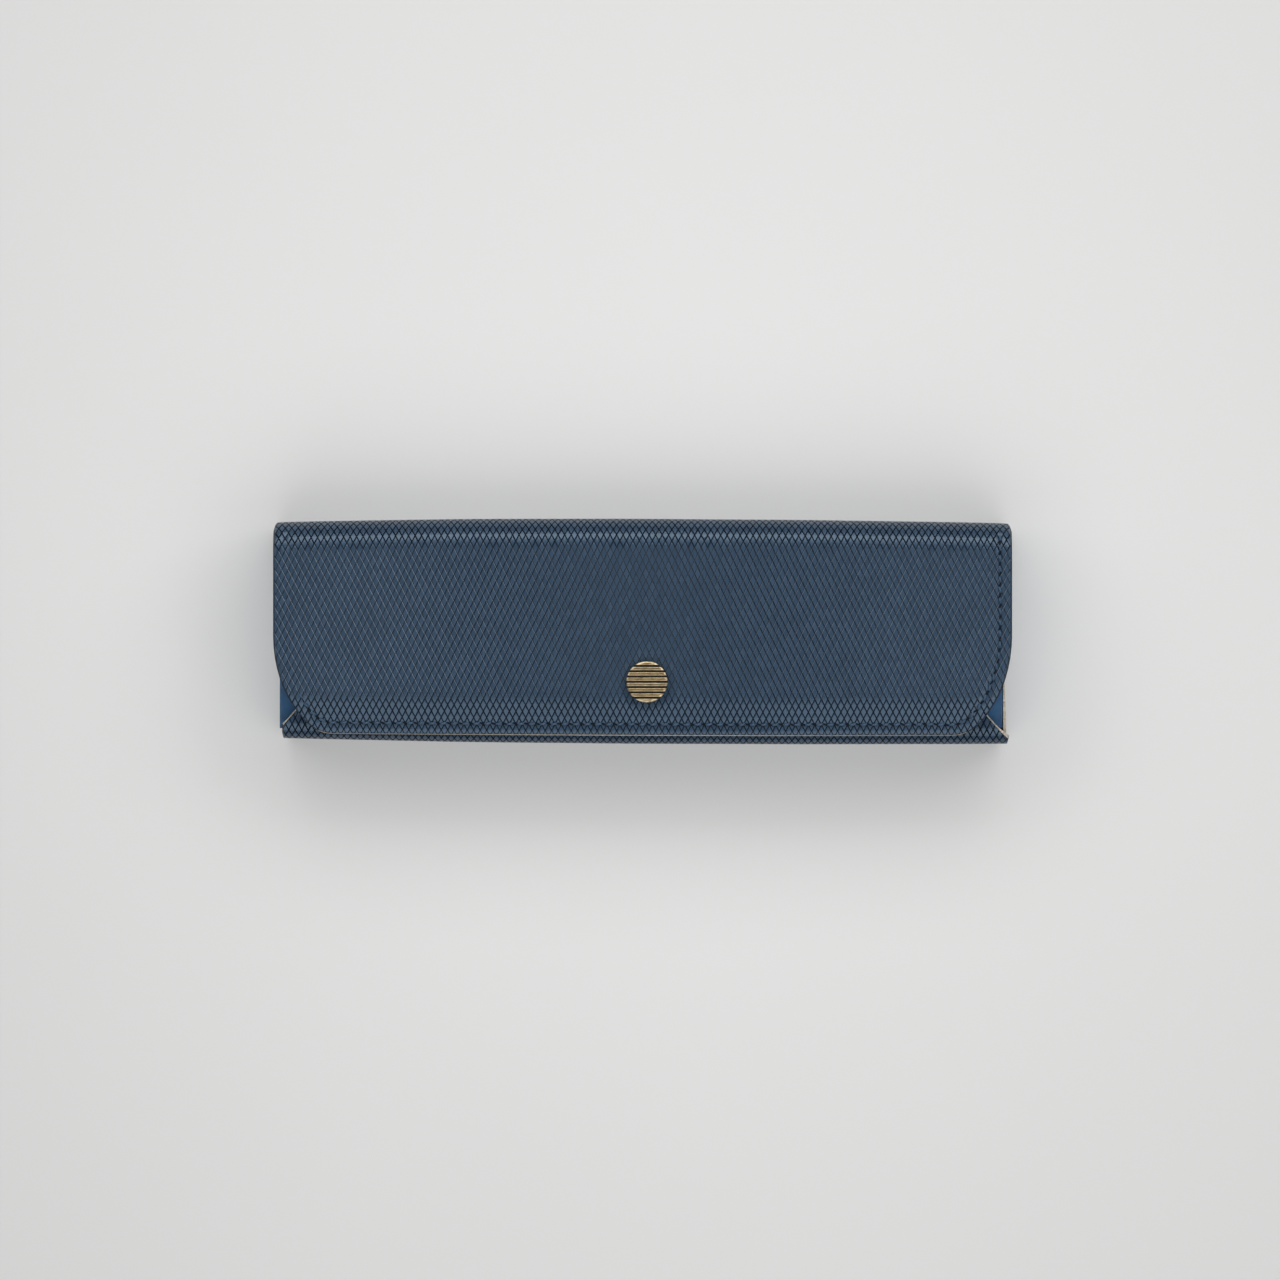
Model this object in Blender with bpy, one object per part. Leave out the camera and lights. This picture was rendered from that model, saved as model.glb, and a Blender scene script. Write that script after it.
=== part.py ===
"""A leather case for three pens, closed, lying on its back.

X runs along the pens, +Y points to the spine and +Z up through the flap. The origin is the middle of
the underside. Every sheet of the case follows a line drawn round the outside of its leather, and lies
at its own depth inside that line: the leather first, then a stiffening board, then the lining.
"""

import math
from collections import namedtuple

import bmesh
import bpy
from mathutils import Matrix, Vector

# Overall sizes, in metres
CASE_LENGTH = 0.170
CASE_DEPTH = 0.0512
CHANNEL_HEIGHT = 0.0135

# Sheets, and the clearance between neighbours
LEATHER = 0.0012
BOARD = 0.0005
LINING = 0.0007
CLEARANCE = 0.0003

# Folds, as outside radii
SPINE_RADIUS = 0.007
FRONT_RADIUS = 0.004
BASE_RADIUS = 0.004

# The body stops short of the flap at each end, and the boards stop short of the leather
END_INSET = 0.0012
BOARD_MARGIN = 0.004

# Flap: the strip of front wall that it leaves bare, its drooping end and its long rounded corners
FLAP_REVEAL = 0.0018
DROOP_LENGTH = 0.0078
CORNER_ACROSS = 0.013
CORNER_ALONG = 0.0228
CORNER_HANDLE_SHARE = 0.5

# Front panel, which tucks in under the flap
PANEL_DEPTH = 0.025
MITRE_ACROSS = 0.0075
MITRE_ALONG = 0.0085
PANEL_CORNER = 0.006

# End pieces, each an end wall with a wing turned in over the pens
GUSSET = 0.0010
GUSSET_BEND = 0.0020
WING_REACH = 0.016
WING_CORNER = 0.004

# Dividers, each folded from one strip whose two edges make its foot
DIVIDER = 0.0016
DIVIDER_HEIGHT = 0.011
FOOT_REACH = 0.003
FOOT = 0.0006
PEN_CHANNELS = 3

# Press stud
SNAP_X = 0.001
SNAP_FROM_FRONT = 0.01395
CAP_RADIUS = 0.00475
CAP_HEIGHT = 0.0013
CAP_EDGE = 0.0004
GROOVE_COUNT = 7
GROOVE_PITCH = 0.00122
GROOVE_WIDTH = 0.00032
GROOVE_DEPTH = 0.0004
STEM_RADIUS = 0.0013
SOCKET_RADIUS = 0.0043
SOCKET_PLATE = 0.0004
STUD_RADIUS = 0.0038
STUD_FLANGE = 0.0004
NUB_WALL = 0.0004
POST_RADIUS = 0.0012
RIVET_RADIUS = 0.0038
RIVET_FLANGE = 0.0004

# Faceting, and how far a cutter runs past what it cuts
ARC_STEPS = 8
CORNER_STEPS = 10
BEND_STEPS = 4
ROUND_SIDES = 32
SMOOTH_ANGLE = math.radians(35)
OVERRUN = 0.001

# A fold that unrolls keeps its length if it turns about this share of its radius inside its corner
HINGE_SHARE = 1 - math.pi / 4


def corner_clearance(radius):
    """How far a square corner stays from both faces of the lining, to clear the arc between them."""
    inner = radius - LAYERS
    return max(CLEARANCE, inner - (inner - CLEARANCE) / math.sqrt(2))


# Levels and places that follow from the sizes above
LAYERS = LEATHER + CLEARANCE + BOARD + CLEARANCE + LINING
BOARD_LEVEL = LEATHER + CLEARANCE
LINING_LEVEL = BOARD_LEVEL + BOARD + CLEARANCE
SIDE_CLEARANCE = max(corner_clearance(FRONT_RADIUS), corner_clearance(BASE_RADIUS))
WING_UNDER = LAYERS + CHANNEL_HEIGHT
WING_TOP = WING_UNDER + GUSSET
PANEL_TOP = WING_TOP + SIDE_CLEARANCE + LAYERS
FLAP_SEAT = CLEARANCE + STUD_FLANGE + CLEARANCE
CASE_HEIGHT = PANEL_TOP + FLAP_SEAT + LAYERS
FLAP_HALF = CASE_LENGTH / 2
BODY_HALF = FLAP_HALF - END_INSET
SPINE_Y = CASE_DEPTH / 2
FRONT_Y = -CASE_DEPTH / 2
SNAP_Y = FRONT_Y + SNAP_FROM_FRONT
NUB_RADIUS = POST_RADIUS + CLEARANCE + NUB_WALL

# One place along a sheet: a point on the outside, the direction into the sheet, and the half length
Station = namedtuple("Station", "y z into_y into_z half")


def clear_scene():
    for item in list(bpy.data.objects):
        bpy.data.objects.remove(item, do_unlink=True)


def material(name, colour, roughness, metallic=0.0):
    """A Principled material of one colour, given as red, green and blue."""
    made = bpy.data.materials.new(name)
    made.use_nodes = True
    shader = made.node_tree.nodes["Principled BSDF"]
    shader.inputs["Base Color"].default_value = (*colour, 1.0)
    shader.inputs["Roughness"].default_value = roughness
    shader.inputs["Metallic"].default_value = metallic
    made.diffuse_color = (*colour, 1.0)
    return made


def object_from(name, mesh_under_work, finish, hinge=None):
    """Makes an object of the mesh, faces outwards, and hangs it on a hinge where it has one."""
    bmesh.ops.recalc_face_normals(mesh_under_work, faces=mesh_under_work.faces)
    mesh = bpy.data.meshes.new(name)
    mesh_under_work.to_mesh(mesh)
    mesh_under_work.free()
    mesh.shade_smooth()
    mesh.set_sharp_from_angle(angle=SMOOTH_ANGLE)
    if finish:
        mesh.materials.append(finish)
    made = bpy.data.objects.new(name, mesh)
    bpy.context.collection.objects.link(made)
    if hinge:
        made.parent = hinge
        made.matrix_parent_inverse = Matrix.Translation(-hinge.location)
    return made


def hinge_at(name, y, z):
    """An empty on a fold's axis, which runs along X."""
    hinge = bpy.data.objects.new(name, None)
    hinge.location = (0, y, z)
    bpy.context.collection.objects.link(hinge)
    return hinge


def sheet(name, stations, level, thickness, finish, hinge=None):
    """A sheet that follows the stations, with its outer face at a level inside their line."""
    work = bmesh.new()
    rings = []
    for place in stations:
        ring = []
        for depth, side in ((level, -1), (level, 1), (level + thickness, 1), (level + thickness, -1)):
            y = place.y + place.into_y * depth
            z = place.z + place.into_z * depth
            ring.append(work.verts.new((side * place.half, y, z)))
        rings.append(ring)
    for ring, following in zip(rings, rings[1:]):
        for here in range(4):
            after = (here + 1) % 4
            work.faces.new((ring[here], ring[after], following[after], following[here]))
    work.faces.new(rings[0])
    work.faces.new(rings[-1])
    return object_from(name, work, finish, hinge)


def arc(centre_y, centre_z, radius, start, end, half):
    """Stations round an outside fold, from one angle to another in degrees above +Y."""
    stations = []
    for step in range(ARC_STEPS + 1):
        angle = math.radians(start + (end - start) * step / ARC_STEPS)
        y = centre_y + radius * math.cos(angle)
        z = centre_z + radius * math.sin(angle)
        stations.append(Station(y, z, -math.cos(angle), -math.sin(angle), half))
    return stations


def prism(name, outline, axis, ends, finish):
    """An outline carried along X or Y, from one end to the other."""
    work = bmesh.new()
    first = []
    for across, up in outline:
        corner = (ends[0], across, up) if axis == "X" else (across, ends[0], up)
        first.append(work.verts.new(corner))
    face = work.faces.new(first)
    carried = bmesh.ops.extrude_face_region(work, geom=[face])["geom"]
    shift = Vector((ends[1] - ends[0], 0, 0)) if axis == "X" else Vector((0, ends[1] - ends[0], 0))
    moved = [part for part in carried if isinstance(part, bmesh.types.BMVert)]
    bmesh.ops.translate(work, verts=moved, vec=shift)
    return object_from(name, work, finish)


def turned(name, profile, finish, hinge):
    """A profile of radii and heights, turned about the press stud's axis.

    A profile that starts and ends on the axis is solid, and any other is a ring.
    """
    work = bmesh.new()
    columns = []
    for radius, height in profile:
        if radius == 0:
            columns.append([work.verts.new((SNAP_X, SNAP_Y, height))] * ROUND_SIDES)
            continue
        column = []
        for side in range(ROUND_SIDES):
            angle = 2 * math.pi * side / ROUND_SIDES
            x = SNAP_X + radius * math.cos(angle)
            y = SNAP_Y + radius * math.sin(angle)
            column.append(work.verts.new((x, y, height)))
        columns.append(column)
    pairs = list(zip(columns, columns[1:]))
    if profile[0][0] != 0:
        pairs.append((columns[-1], columns[0]))
    for lower, upper in pairs:
        for here in range(ROUND_SIDES):
            after = (here + 1) % ROUND_SIDES
            corners = [lower[here], lower[after], upper[after], upper[here]]
            work.faces.new(list(dict.fromkeys(corners)))
    return object_from(name, work, finish, hinge)


def cutter(name, low, high, radius):
    """A round punch on the press stud's axis."""
    profile = [(0, low), (radius, low), (radius, high), (0, high)]
    return hide(turned(name, profile, None, None))


def hide(guide):
    guide.hide_render = True
    guide.display_type = "WIRE"
    return guide


def cut(target, guide):
    boolean = target.modifiers.new(guide.name, "BOOLEAN")
    boolean.operation = "DIFFERENCE"
    boolean.solver = "EXACT"
    boolean.object = guide


def case_line():
    """The outside of the fixed leather: spine fold, spine, floor, front wall and front fold."""
    spine = arc(SPINE_Y - SPINE_RADIUS, CASE_HEIGHT - SPINE_RADIUS, SPINE_RADIUS, 90, 0, FLAP_HALF)
    back = arc(SPINE_Y - BASE_RADIUS, BASE_RADIUS, BASE_RADIUS, 0, -90, FLAP_HALF)
    fore = arc(FRONT_Y + BASE_RADIUS, BASE_RADIUS, BASE_RADIUS, -90, -180, BODY_HALF)
    fold = arc(FRONT_Y + FRONT_RADIUS, PANEL_TOP - FRONT_RADIUS, FRONT_RADIUS, 180, 90, BODY_HALF)
    return spine, back, fore, fold


def corner_curve(handle):
    """Places along a quarter of a rounded corner, as shares run along and across it."""
    places = []
    for step in range(CORNER_STEPS + 1):
        t = step / CORNER_STEPS
        early = 3 * (1 - t) ** 2 * t
        late = 3 * (1 - t) * t ** 2
        places.append((early * handle + late + t ** 3, late * (1 - handle) + t ** 3))
    return places


def droop_radius():
    """The flap's bend over the front fold, which ends clear of the panel by the clearance."""
    run = DROOP_LENGTH + FLAP_REVEAL - FRONT_RADIUS
    flap_line = FLAP_SEAT + LAYERS + FRONT_RADIUS
    fold_line = CLEARANCE + LAYERS + FRONT_RADIUS
    return (run ** 2 + flap_line ** 2 - fold_line ** 2) / (2 * (flap_line - fold_line))


def flap_line(margin=0.0):
    """Stations along the flap, from the spine fold to its drooping end, drawn in by a margin."""
    bend = droop_radius()
    bend_starts = FRONT_Y + FLAP_REVEAL + DROOP_LENGTH
    half = FLAP_HALF - margin
    start = SPINE_Y - SPINE_RADIUS - CLEARANCE - margin
    end = FRONT_Y + FLAP_REVEAL + margin
    places = [(start, half)]
    for along, across in corner_curve(CORNER_HANDLE_SHARE):
        places.append((end + CORNER_ALONG * (1 - along), half - CORNER_ACROSS * across))
    stations = []
    for y, width in places:
        lean = max(0.0, bend_starts - y) / bend
        upright = math.sqrt(1 - lean ** 2)
        z = CASE_HEIGHT - bend * (1 - upright)
        stations.append(Station(y, z, lean, -upright, width))
    return stations


def panel_line(margin=0.0):
    """Stations along the front panel, from its fold and mitred corners to its free edge."""
    start = FRONT_Y + FRONT_RADIUS
    end = FRONT_Y + PANEL_DEPTH - margin
    narrow = BODY_HALF - MITRE_ACROSS - margin
    slope = MITRE_ACROSS / MITRE_ALONG
    first = start + CLEARANCE + margin
    mitred = start + MITRE_ALONG
    places = [(first, BODY_HALF - margin - slope * (first - start)), (mitred, narrow)]
    corner = min(max(PANEL_CORNER - margin, CLEARANCE), end - mitred - CLEARANCE)
    for step in range(ARC_STEPS + 1):
        angle = math.pi / 2 * step / ARC_STEPS
        y = end - corner * (1 - math.sin(angle))
        places.append((y, narrow - corner * (1 - math.cos(angle))))
    return [Station(y, PANEL_TOP, 0, -1, width) for y, width in places]


def case_sheets(leather, board, lining):
    """The fixed leather, its lining, and the three boards between them."""
    spine, back, fore, fold = case_line()
    sheet("body_wrap", spine + back + fore + fold, 0, LEATHER, leather)
    sheet("case_lining", spine + back + fore + fold, LINING_LEVEL, LINING, lining)
    walls = (("spine_board", spine, back), ("floor_board", back, fore), ("front_board", fore, fold))
    for name, before, after in walls:
        ends = []
        for place in (before[-1], after[0]):
            ends.append(place._replace(half=place.half - BOARD_MARGIN))
        sheet(name, ends, BOARD_LEVEL, BOARD, board)


def back_edge():
    """How far back an end piece reaches under the arc of the spine's lining."""
    straight = SPINE_Y - LAYERS - SIDE_CLEARANCE
    above = max(0.0, WING_TOP - (CASE_HEIGHT - SPINE_RADIUS))
    room = SPINE_RADIUS - LAYERS - CLEARANCE
    return min(straight, SPINE_Y - SPINE_RADIUS + math.sqrt(max(0.0, room ** 2 - above ** 2)))


def gusset(name, side, finish):
    """An end wall bent over into a wing, whose free corners are rounded."""
    outside = BODY_HALF
    inside = BODY_HALF - GUSSET
    tip = BODY_HALF - WING_REACH
    floor = LAYERS + SIDE_CLEARANCE
    bend_x = outside - GUSSET_BEND
    bend_z = WING_TOP - GUSSET_BEND
    outline = [(inside, floor), (outside, floor)]
    for step in range(BEND_STEPS + 1):
        angle = math.pi / 2 * step / BEND_STEPS
        x = bend_x + GUSSET_BEND * math.cos(angle)
        outline.append((x, bend_z + GUSSET_BEND * math.sin(angle)))
    outline += [(tip, WING_TOP), (tip, WING_UNDER)]
    for step in range(BEND_STEPS, -1, -1):
        angle = math.pi / 2 * step / BEND_STEPS
        x = bend_x + (GUSSET_BEND - GUSSET) * math.cos(angle)
        outline.append((x, bend_z + (GUSSET_BEND - GUSSET) * math.sin(angle)))
    outline = [(side * x, z) for x, z in outline]
    ends = (FRONT_Y + LAYERS + SIDE_CLEARANCE, back_edge())
    made = prism(name, outline, "Y", ends, finish)
    round_wing(made, abs(tip) + CLEARANCE)
    return made


def round_wing(made, reach):
    """Rounds the upright edges at a wing's free end, which lies within a reach of the middle."""
    points = made.data.vertices
    weights = made.data.attributes.new("bevel_weight_edge", "FLOAT", "EDGE")
    for edge in made.data.edges:
        one, other = (points[index].co for index in edge.vertices)
        upright = one.x == other.x and one.y == other.y
        weights.data[edge.index].value = float(upright and abs(one.x) < reach)
    rounding = made.modifiers.new("wing_corners", "BEVEL")
    rounding.limit_method = "WEIGHT"
    rounding.width = WING_CORNER
    rounding.segments = BEND_STEPS


def end_lining(name, side, finish):
    """The lining on the inner face of an end wall."""
    outer = BODY_HALF - GUSSET - CLEARANCE
    inner = outer - LINING
    low = LAYERS + SIDE_CLEARANCE
    high = WING_UNDER - max(CLEARANCE, GUSSET_BEND - GUSSET)
    front = FRONT_Y + LAYERS + SIDE_CLEARANCE
    outline = [(front, low), (back_edge(), low), (back_edge(), high), (front, high)]
    return prism(name, outline, "X", (side * inner, side * outer), finish)


def divider(name, middle, finish):
    """An upright between two channels, standing on its foot on the lining."""
    reach = BODY_HALF - GUSSET - CLEARANCE - LINING - CLEARANCE
    low = LAYERS + CLEARANCE
    top = low + DIVIDER_HEIGHT
    foot = DIVIDER / 2 + FOOT_REACH
    half = DIVIDER / 2
    right = [(foot, low), (foot, low + FOOT), (half, low + FOOT), (half, top)]
    left = [(-across, up) for across, up in reversed(right)]
    outline = [(middle + across, up) for across, up in right + left]
    return prism(name, outline, "X", (-reach, reach), finish)


def dividers(finish):
    """The uprights that share the width out into equal channels."""
    inside = CASE_DEPTH - 2 * LAYERS
    channel = (inside - (PEN_CHANNELS - 1) * DIVIDER) / PEN_CHANNELS
    names = ("front_divider", "back_divider")
    for place, name in enumerate(names, start=1):
        middle = FRONT_Y + LAYERS + place * (channel + DIVIDER) - DIVIDER / 2
        divider(name, middle, finish)


def flap_sheets(leather, board, lining, hinge):
    """The flap: leather, board and lining, punched for the press stud's upper half."""
    outer = sheet("flap_leather", flap_line(), 0, LEATHER, leather, hinge)
    stiff = sheet("flap_board", flap_line(BOARD_MARGIN), BOARD_LEVEL, BOARD, board, hinge)
    inner = sheet("flap_lining", flap_line(), LINING_LEVEL, LINING, lining, hinge)
    low = CASE_HEIGHT - LAYERS - OVERRUN
    high = CASE_HEIGHT + OVERRUN
    cut(outer, cutter("stem_hole", low, high, STEM_RADIUS + CLEARANCE))
    seat = cutter("socket_hole", low, high, SOCKET_RADIUS + CLEARANCE)
    cut(stiff, seat)
    cut(inner, seat)


def panel_sheets(leather, board, lining, hinge):
    """The front panel: leather, board and lining, punched for the press stud's lower half."""
    outer = sheet("panel_leather", panel_line(), 0, LEATHER, leather, hinge)
    stiff = sheet("panel_board", panel_line(BOARD_MARGIN), BOARD_LEVEL, BOARD, board, hinge)
    inner = sheet("panel_lining", panel_line(), LINING_LEVEL, LINING, lining, hinge)
    low = PANEL_TOP - LAYERS - OVERRUN
    hole = cutter("post_hole", low, PANEL_TOP + OVERRUN, POST_RADIUS + CLEARANCE)
    for layer in (outer, stiff, inner):
        cut(layer, hole)


def snap_cap(finish, hinge):
    """The ribbed cap on the flap, with the stem that holds the socket under it."""
    under = CASE_HEIGHT + CLEARANCE
    top = under + CAP_HEIGHT
    stem_end = CASE_HEIGHT - LEATHER - CLEARANCE - SOCKET_PLATE
    profile = [(0, stem_end), (STEM_RADIUS, stem_end), (STEM_RADIUS, under), (CAP_RADIUS, under)]
    for step in range(BEND_STEPS + 1):
        angle = math.pi / 2 * step / BEND_STEPS
        radius = CAP_RADIUS - CAP_EDGE * (1 - math.cos(angle))
        profile.append((radius, top - CAP_EDGE * (1 - math.sin(angle))))
    profile.append((0, top))
    cap = turned("snap_cap", profile, finish, hinge)
    cut(cap, cap_grooves(top))


def cap_grooves(top):
    """Bars that cut the cap's grooves, which run along X."""
    work = bmesh.new()
    for place in range(GROOVE_COUNT):
        y = SNAP_Y + GROOVE_PITCH * (place - (GROOVE_COUNT - 1) / 2)
        middle = Matrix.Translation((SNAP_X, y, top))
        size = (2 * CAP_RADIUS + 2 * OVERRUN, GROOVE_WIDTH, 2 * GROOVE_DEPTH)
        bmesh.ops.create_cube(work, size=1, matrix=middle @ Matrix.Diagonal((*size, 1)))
    return hide(object_from("cap_grooves", work, None))


def snap_socket(finish, hinge):
    """The ring let into the flap's lining, whose bore takes the stud's nub."""
    top = CASE_HEIGHT - LEATHER - CLEARANCE
    plate = top - SOCKET_PLATE
    under = CASE_HEIGHT - LAYERS
    hole = STEM_RADIUS + CLEARANCE
    bore = NUB_RADIUS + CLEARANCE
    profile = [(SOCKET_RADIUS, under), (SOCKET_RADIUS, top), (hole, top), (hole, plate)]
    profile += [(bore, plate), (bore, under)]
    turned("snap_socket", profile, finish, hinge)


def nub_top():
    """The stud's highest point, which clears the end of the cap's stem."""
    return CASE_HEIGHT - LEATHER - CLEARANCE - SOCKET_PLATE - CLEARANCE


def snap_stud(finish, hinge):
    """The stud on the front panel: a flange with a hollow nub."""
    under = PANEL_TOP + CLEARANCE
    flange = under + STUD_FLANGE
    hollow = POST_RADIUS + CLEARANCE
    ceiling = nub_top() - NUB_WALL
    profile = [(0, ceiling), (hollow, ceiling), (hollow, under), (STUD_RADIUS, under)]
    profile += [(STUD_RADIUS, flange), (NUB_RADIUS, flange), (NUB_RADIUS, nub_top()), (0, nub_top())]
    turned("snap_stud", profile, finish, hinge)


def stud_rivet(finish, hinge):
    """The rivet under the front panel, whose post runs up into the stud."""
    head = PANEL_TOP - LAYERS - CLEARANCE
    under = head - RIVET_FLANGE
    post = nub_top() - NUB_WALL - CLEARANCE
    profile = [(0, under), (RIVET_RADIUS, under), (RIVET_RADIUS, head), (POST_RADIUS, head)]
    profile += [(POST_RADIUS, post), (0, post)]
    turned("stud_rivet", profile, finish, hinge)


def build():
    clear_scene()
    embossed = material("embossed_leather", (0.040, 0.065, 0.095), 0.42)
    smooth = material("smooth_leather", (0.031, 0.088, 0.216), 0.45)
    suede = material("lining_suede", (0.060, 0.090, 0.140), 0.90)
    board = material("leatherboard", (0.250, 0.170, 0.100), 0.85)
    brass = material("antique_brass", (0.400, 0.300, 0.160), 0.35, 1.0)
    flap_y = SPINE_Y - HINGE_SHARE * SPINE_RADIUS
    flap_fold = hinge_at("flap_fold", flap_y, CASE_HEIGHT - HINGE_SHARE * SPINE_RADIUS)
    panel_y = FRONT_Y + HINGE_SHARE * FRONT_RADIUS
    panel_fold = hinge_at("front_panel_fold", panel_y, PANEL_TOP - HINGE_SHARE * FRONT_RADIUS)

    case_sheets(embossed, board, suede)
    for name, side in (("left", -1), ("right", 1)):
        gusset(name + "_gusset", side, smooth)
        end_lining(name + "_end_lining", side, suede)
    dividers(suede)
    flap_sheets(embossed, board, suede, flap_fold)
    snap_cap(brass, flap_fold)
    snap_socket(brass, flap_fold)
    panel_sheets(embossed, board, suede, panel_fold)
    snap_stud(brass, panel_fold)
    stud_rivet(brass, panel_fold)


build()
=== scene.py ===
import math

import bmesh
import bpy
import numpy as np
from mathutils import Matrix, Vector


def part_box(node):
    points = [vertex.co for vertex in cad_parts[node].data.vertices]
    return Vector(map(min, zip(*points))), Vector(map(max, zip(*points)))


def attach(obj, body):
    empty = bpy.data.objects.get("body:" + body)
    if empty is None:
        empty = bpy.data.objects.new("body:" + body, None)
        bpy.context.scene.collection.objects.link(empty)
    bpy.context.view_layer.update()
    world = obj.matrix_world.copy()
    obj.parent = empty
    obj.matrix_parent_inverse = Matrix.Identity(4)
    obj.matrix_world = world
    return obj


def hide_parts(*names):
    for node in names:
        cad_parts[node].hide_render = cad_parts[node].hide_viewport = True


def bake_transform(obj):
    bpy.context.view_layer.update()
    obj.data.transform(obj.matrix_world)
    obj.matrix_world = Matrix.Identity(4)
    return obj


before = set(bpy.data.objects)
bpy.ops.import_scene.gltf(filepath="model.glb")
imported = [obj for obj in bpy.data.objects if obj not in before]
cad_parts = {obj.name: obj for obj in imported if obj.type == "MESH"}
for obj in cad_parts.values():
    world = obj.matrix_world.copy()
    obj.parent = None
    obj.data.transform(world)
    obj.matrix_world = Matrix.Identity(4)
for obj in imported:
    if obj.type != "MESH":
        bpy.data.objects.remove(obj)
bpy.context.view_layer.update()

# The picture. The closed case lies on its back on a pale grey sheet and is seen from straight above. Soft
# boxes stand behind and before it, with small ones behind to the right and left, in a pale room whose ceiling
# is darker over the middle. A lamp's values are its turn, distance, length, width, power and lean.
PICTURE_WIDTH = 0.2953
CAMERA_HEIGHT = 3.0
CAMERA_PLACE = (-0.0006, -0.0020)
SENSOR_WIDTH = 36
LAMPS = (
    (0, 0.8, 0.90, 0.36, 3.5, 50),
    (190, 0.8, 1.30, 0.72, 4.5, 39),
    (-58, 0.8, 0.40, 0.40, 1.5, 50),
    (60, 0.8, 0.40, 0.40, 1.1, 50),
)
ROOM_LIGHT = 0.28
HORIZON_LIGHT = 0.10
HORIZON_EDGES = (0.1, 0.5)
CEILING_LIGHT = 0.10
CEILING_EDGES = (0.86, 0.96)
SHEET_COLOUR = (0.540, 0.540, 0.536, 1)
SHEET_GLOW = 0.17
SHEET_GLOW_TINT = (1, 1, 0.995, 1)
SHEET_PAINTED_FALLOFF = 0.84
SHEET_PAINTED_FALLOFF_REACH = (0.05, 0.22)
SHEET_CLOUD = (0.992, 1.008)
SHEET_SIZE = 6

flap_low, flap_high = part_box("flap_leather")
bpy.context.scene.view_settings.view_transform = "Standard"

camera = bpy.data.objects.new("camera", bpy.data.cameras.new("camera"))
camera.data.sensor_width = SENSOR_WIDTH
camera.data.lens = SENSOR_WIDTH * CAMERA_HEIGHT / PICTURE_WIDTH
camera.location = (*CAMERA_PLACE, flap_high.z + CAMERA_HEIGHT)
bpy.context.collection.objects.link(camera)
bpy.context.scene.camera = camera

quarter = math.pi / 2
for degrees, away, length, width, power, lean in LAMPS:
    lamp = bpy.data.objects.new("lamp", bpy.data.lights.new("lamp", "AREA"))
    lamp.data.shape = "RECTANGLE"
    lamp.data.size = length
    lamp.data.size_y = width
    lamp.data.energy = power
    turn, lean = math.radians(degrees), math.radians(lean)
    reach = away * math.sin(lean)
    lamp.location = (-reach * math.sin(turn), reach * math.cos(turn), away * math.cos(lean))
    lamp.rotation_euler = (-lean, 0, turn)
    lamp.visible_camera = False
    bpy.context.collection.objects.link(lamp)


def node(tree, kind, feeds=None, **settings):
    """Adds a node. feeds gives its inputs, by name or number, a value or a socket to link from."""
    made = tree.nodes.new(kind)
    for key, value in settings.items():
        setattr(made, key, value)
    for key, value in (feeds or {}).items():
        if isinstance(value, bpy.types.NodeSocket):
            tree.links.new(value, made.inputs[key])
        else:
            made.inputs[key].default_value = value
    return made


def blended(tree, share, first, second, way="MIX"):
    """A colour between two colours, by a share."""
    feeds = {0: share, 6: first, 7: second}
    return node(tree, "ShaderNodeMix", feeds, data_type="RGBA", blend_type=way).outputs[2]


def ranged(tree, value, low, high, to_low=0.0, to_high=1.0):
    """A value carried from one range to another and kept inside it."""
    feeds = {0: value, 1: low, 2: high, 3: to_low, 4: to_high}
    return node(tree, "ShaderNodeMapRange", feeds).outputs[0]


def sums(tree, way, first, second):
    """What a Math node makes of two values."""
    return node(tree, "ShaderNodeMath", {0: first, 1: second}, operation=way).outputs[0]


def material(name, **values):
    """A Principled material with plain values on the shader's own sockets, its tree and its shader."""
    made = bpy.data.materials.new(name)
    made.use_nodes = True
    shader = made.node_tree.nodes["Principled BSDF"]
    for socket, value in values.items():
        shader.inputs[socket.replace("_", " ")].default_value = value
    return made, made.node_tree, shader


# The room's walls give light. The sheet of paper is coloured darker away from the case: a painted falloff of
# the lamps' light.
room = bpy.data.worlds.new("room")
room.use_nodes = True
tree = room.node_tree
way = node(tree, "ShaderNodeTexCoord").outputs["Generated"]
up = node(tree, "ShaderNodeSeparateXYZ", {0: way}).outputs["Z"]
tree.nodes["Background"].inputs["Color"].default_value = (1, 1, 1, 1)
low = ranged(tree, up, *HORIZON_EDGES, HORIZON_LIGHT, ROOM_LIGHT)
high = ranged(tree, up, *CEILING_EDGES, ROOM_LIGHT, CEILING_LIGHT)
tree.links.new(sums(tree, "MINIMUM", low, high), tree.nodes["Background"].inputs["Strength"])
bpy.context.scene.world = room

paper, tree, shader = material("paper", Roughness=0.95, Specular_IOR_Level=0.2)
place = node(tree, "ShaderNodeTexCoord").outputs["Object"]
cloud = node(tree, "ShaderNodeTexNoise", {"Vector": place, "Scale": 9.0, "Detail": 4.0}).outputs[0]
shade = ranged(tree, cloud, 0.3, 0.7, *SHEET_CLOUD)
# The paper's colour is darkened away from the case: a painted falloff of the lamps' light.
away = node(tree, "ShaderNodeVectorMath", {0: place}, operation="LENGTH").outputs["Value"]
shade = sums(tree, "MULTIPLY", shade, ranged(tree, away, *SHEET_PAINTED_FALLOFF_REACH, 1.0, SHEET_PAINTED_FALLOFF))
tree.links.new(blended(tree, 1.0, SHEET_COLOUR, shade, "MULTIPLY"), shader.inputs["Base Color"])
path = node(tree, "ShaderNodeLightPath").outputs
seen = sums(tree, "MAXIMUM", path["Is Camera Ray"], path["Is Glossy Ray"])
seen = sums(tree, "MAXIMUM", seen, path["Is Transmission Ray"])
shader.inputs["Emission Color"].default_value = SHEET_GLOW_TINT
tree.links.new(sums(tree, "MULTIPLY", seen, SHEET_GLOW), shader.inputs["Emission Strength"])
half = SHEET_SIZE / 2
paper_mesh = bpy.data.meshes.new("paper")
corners = [(-half, -half, 0), (half, -half, 0), (half, half, 0), (-half, half, 0)]
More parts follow.
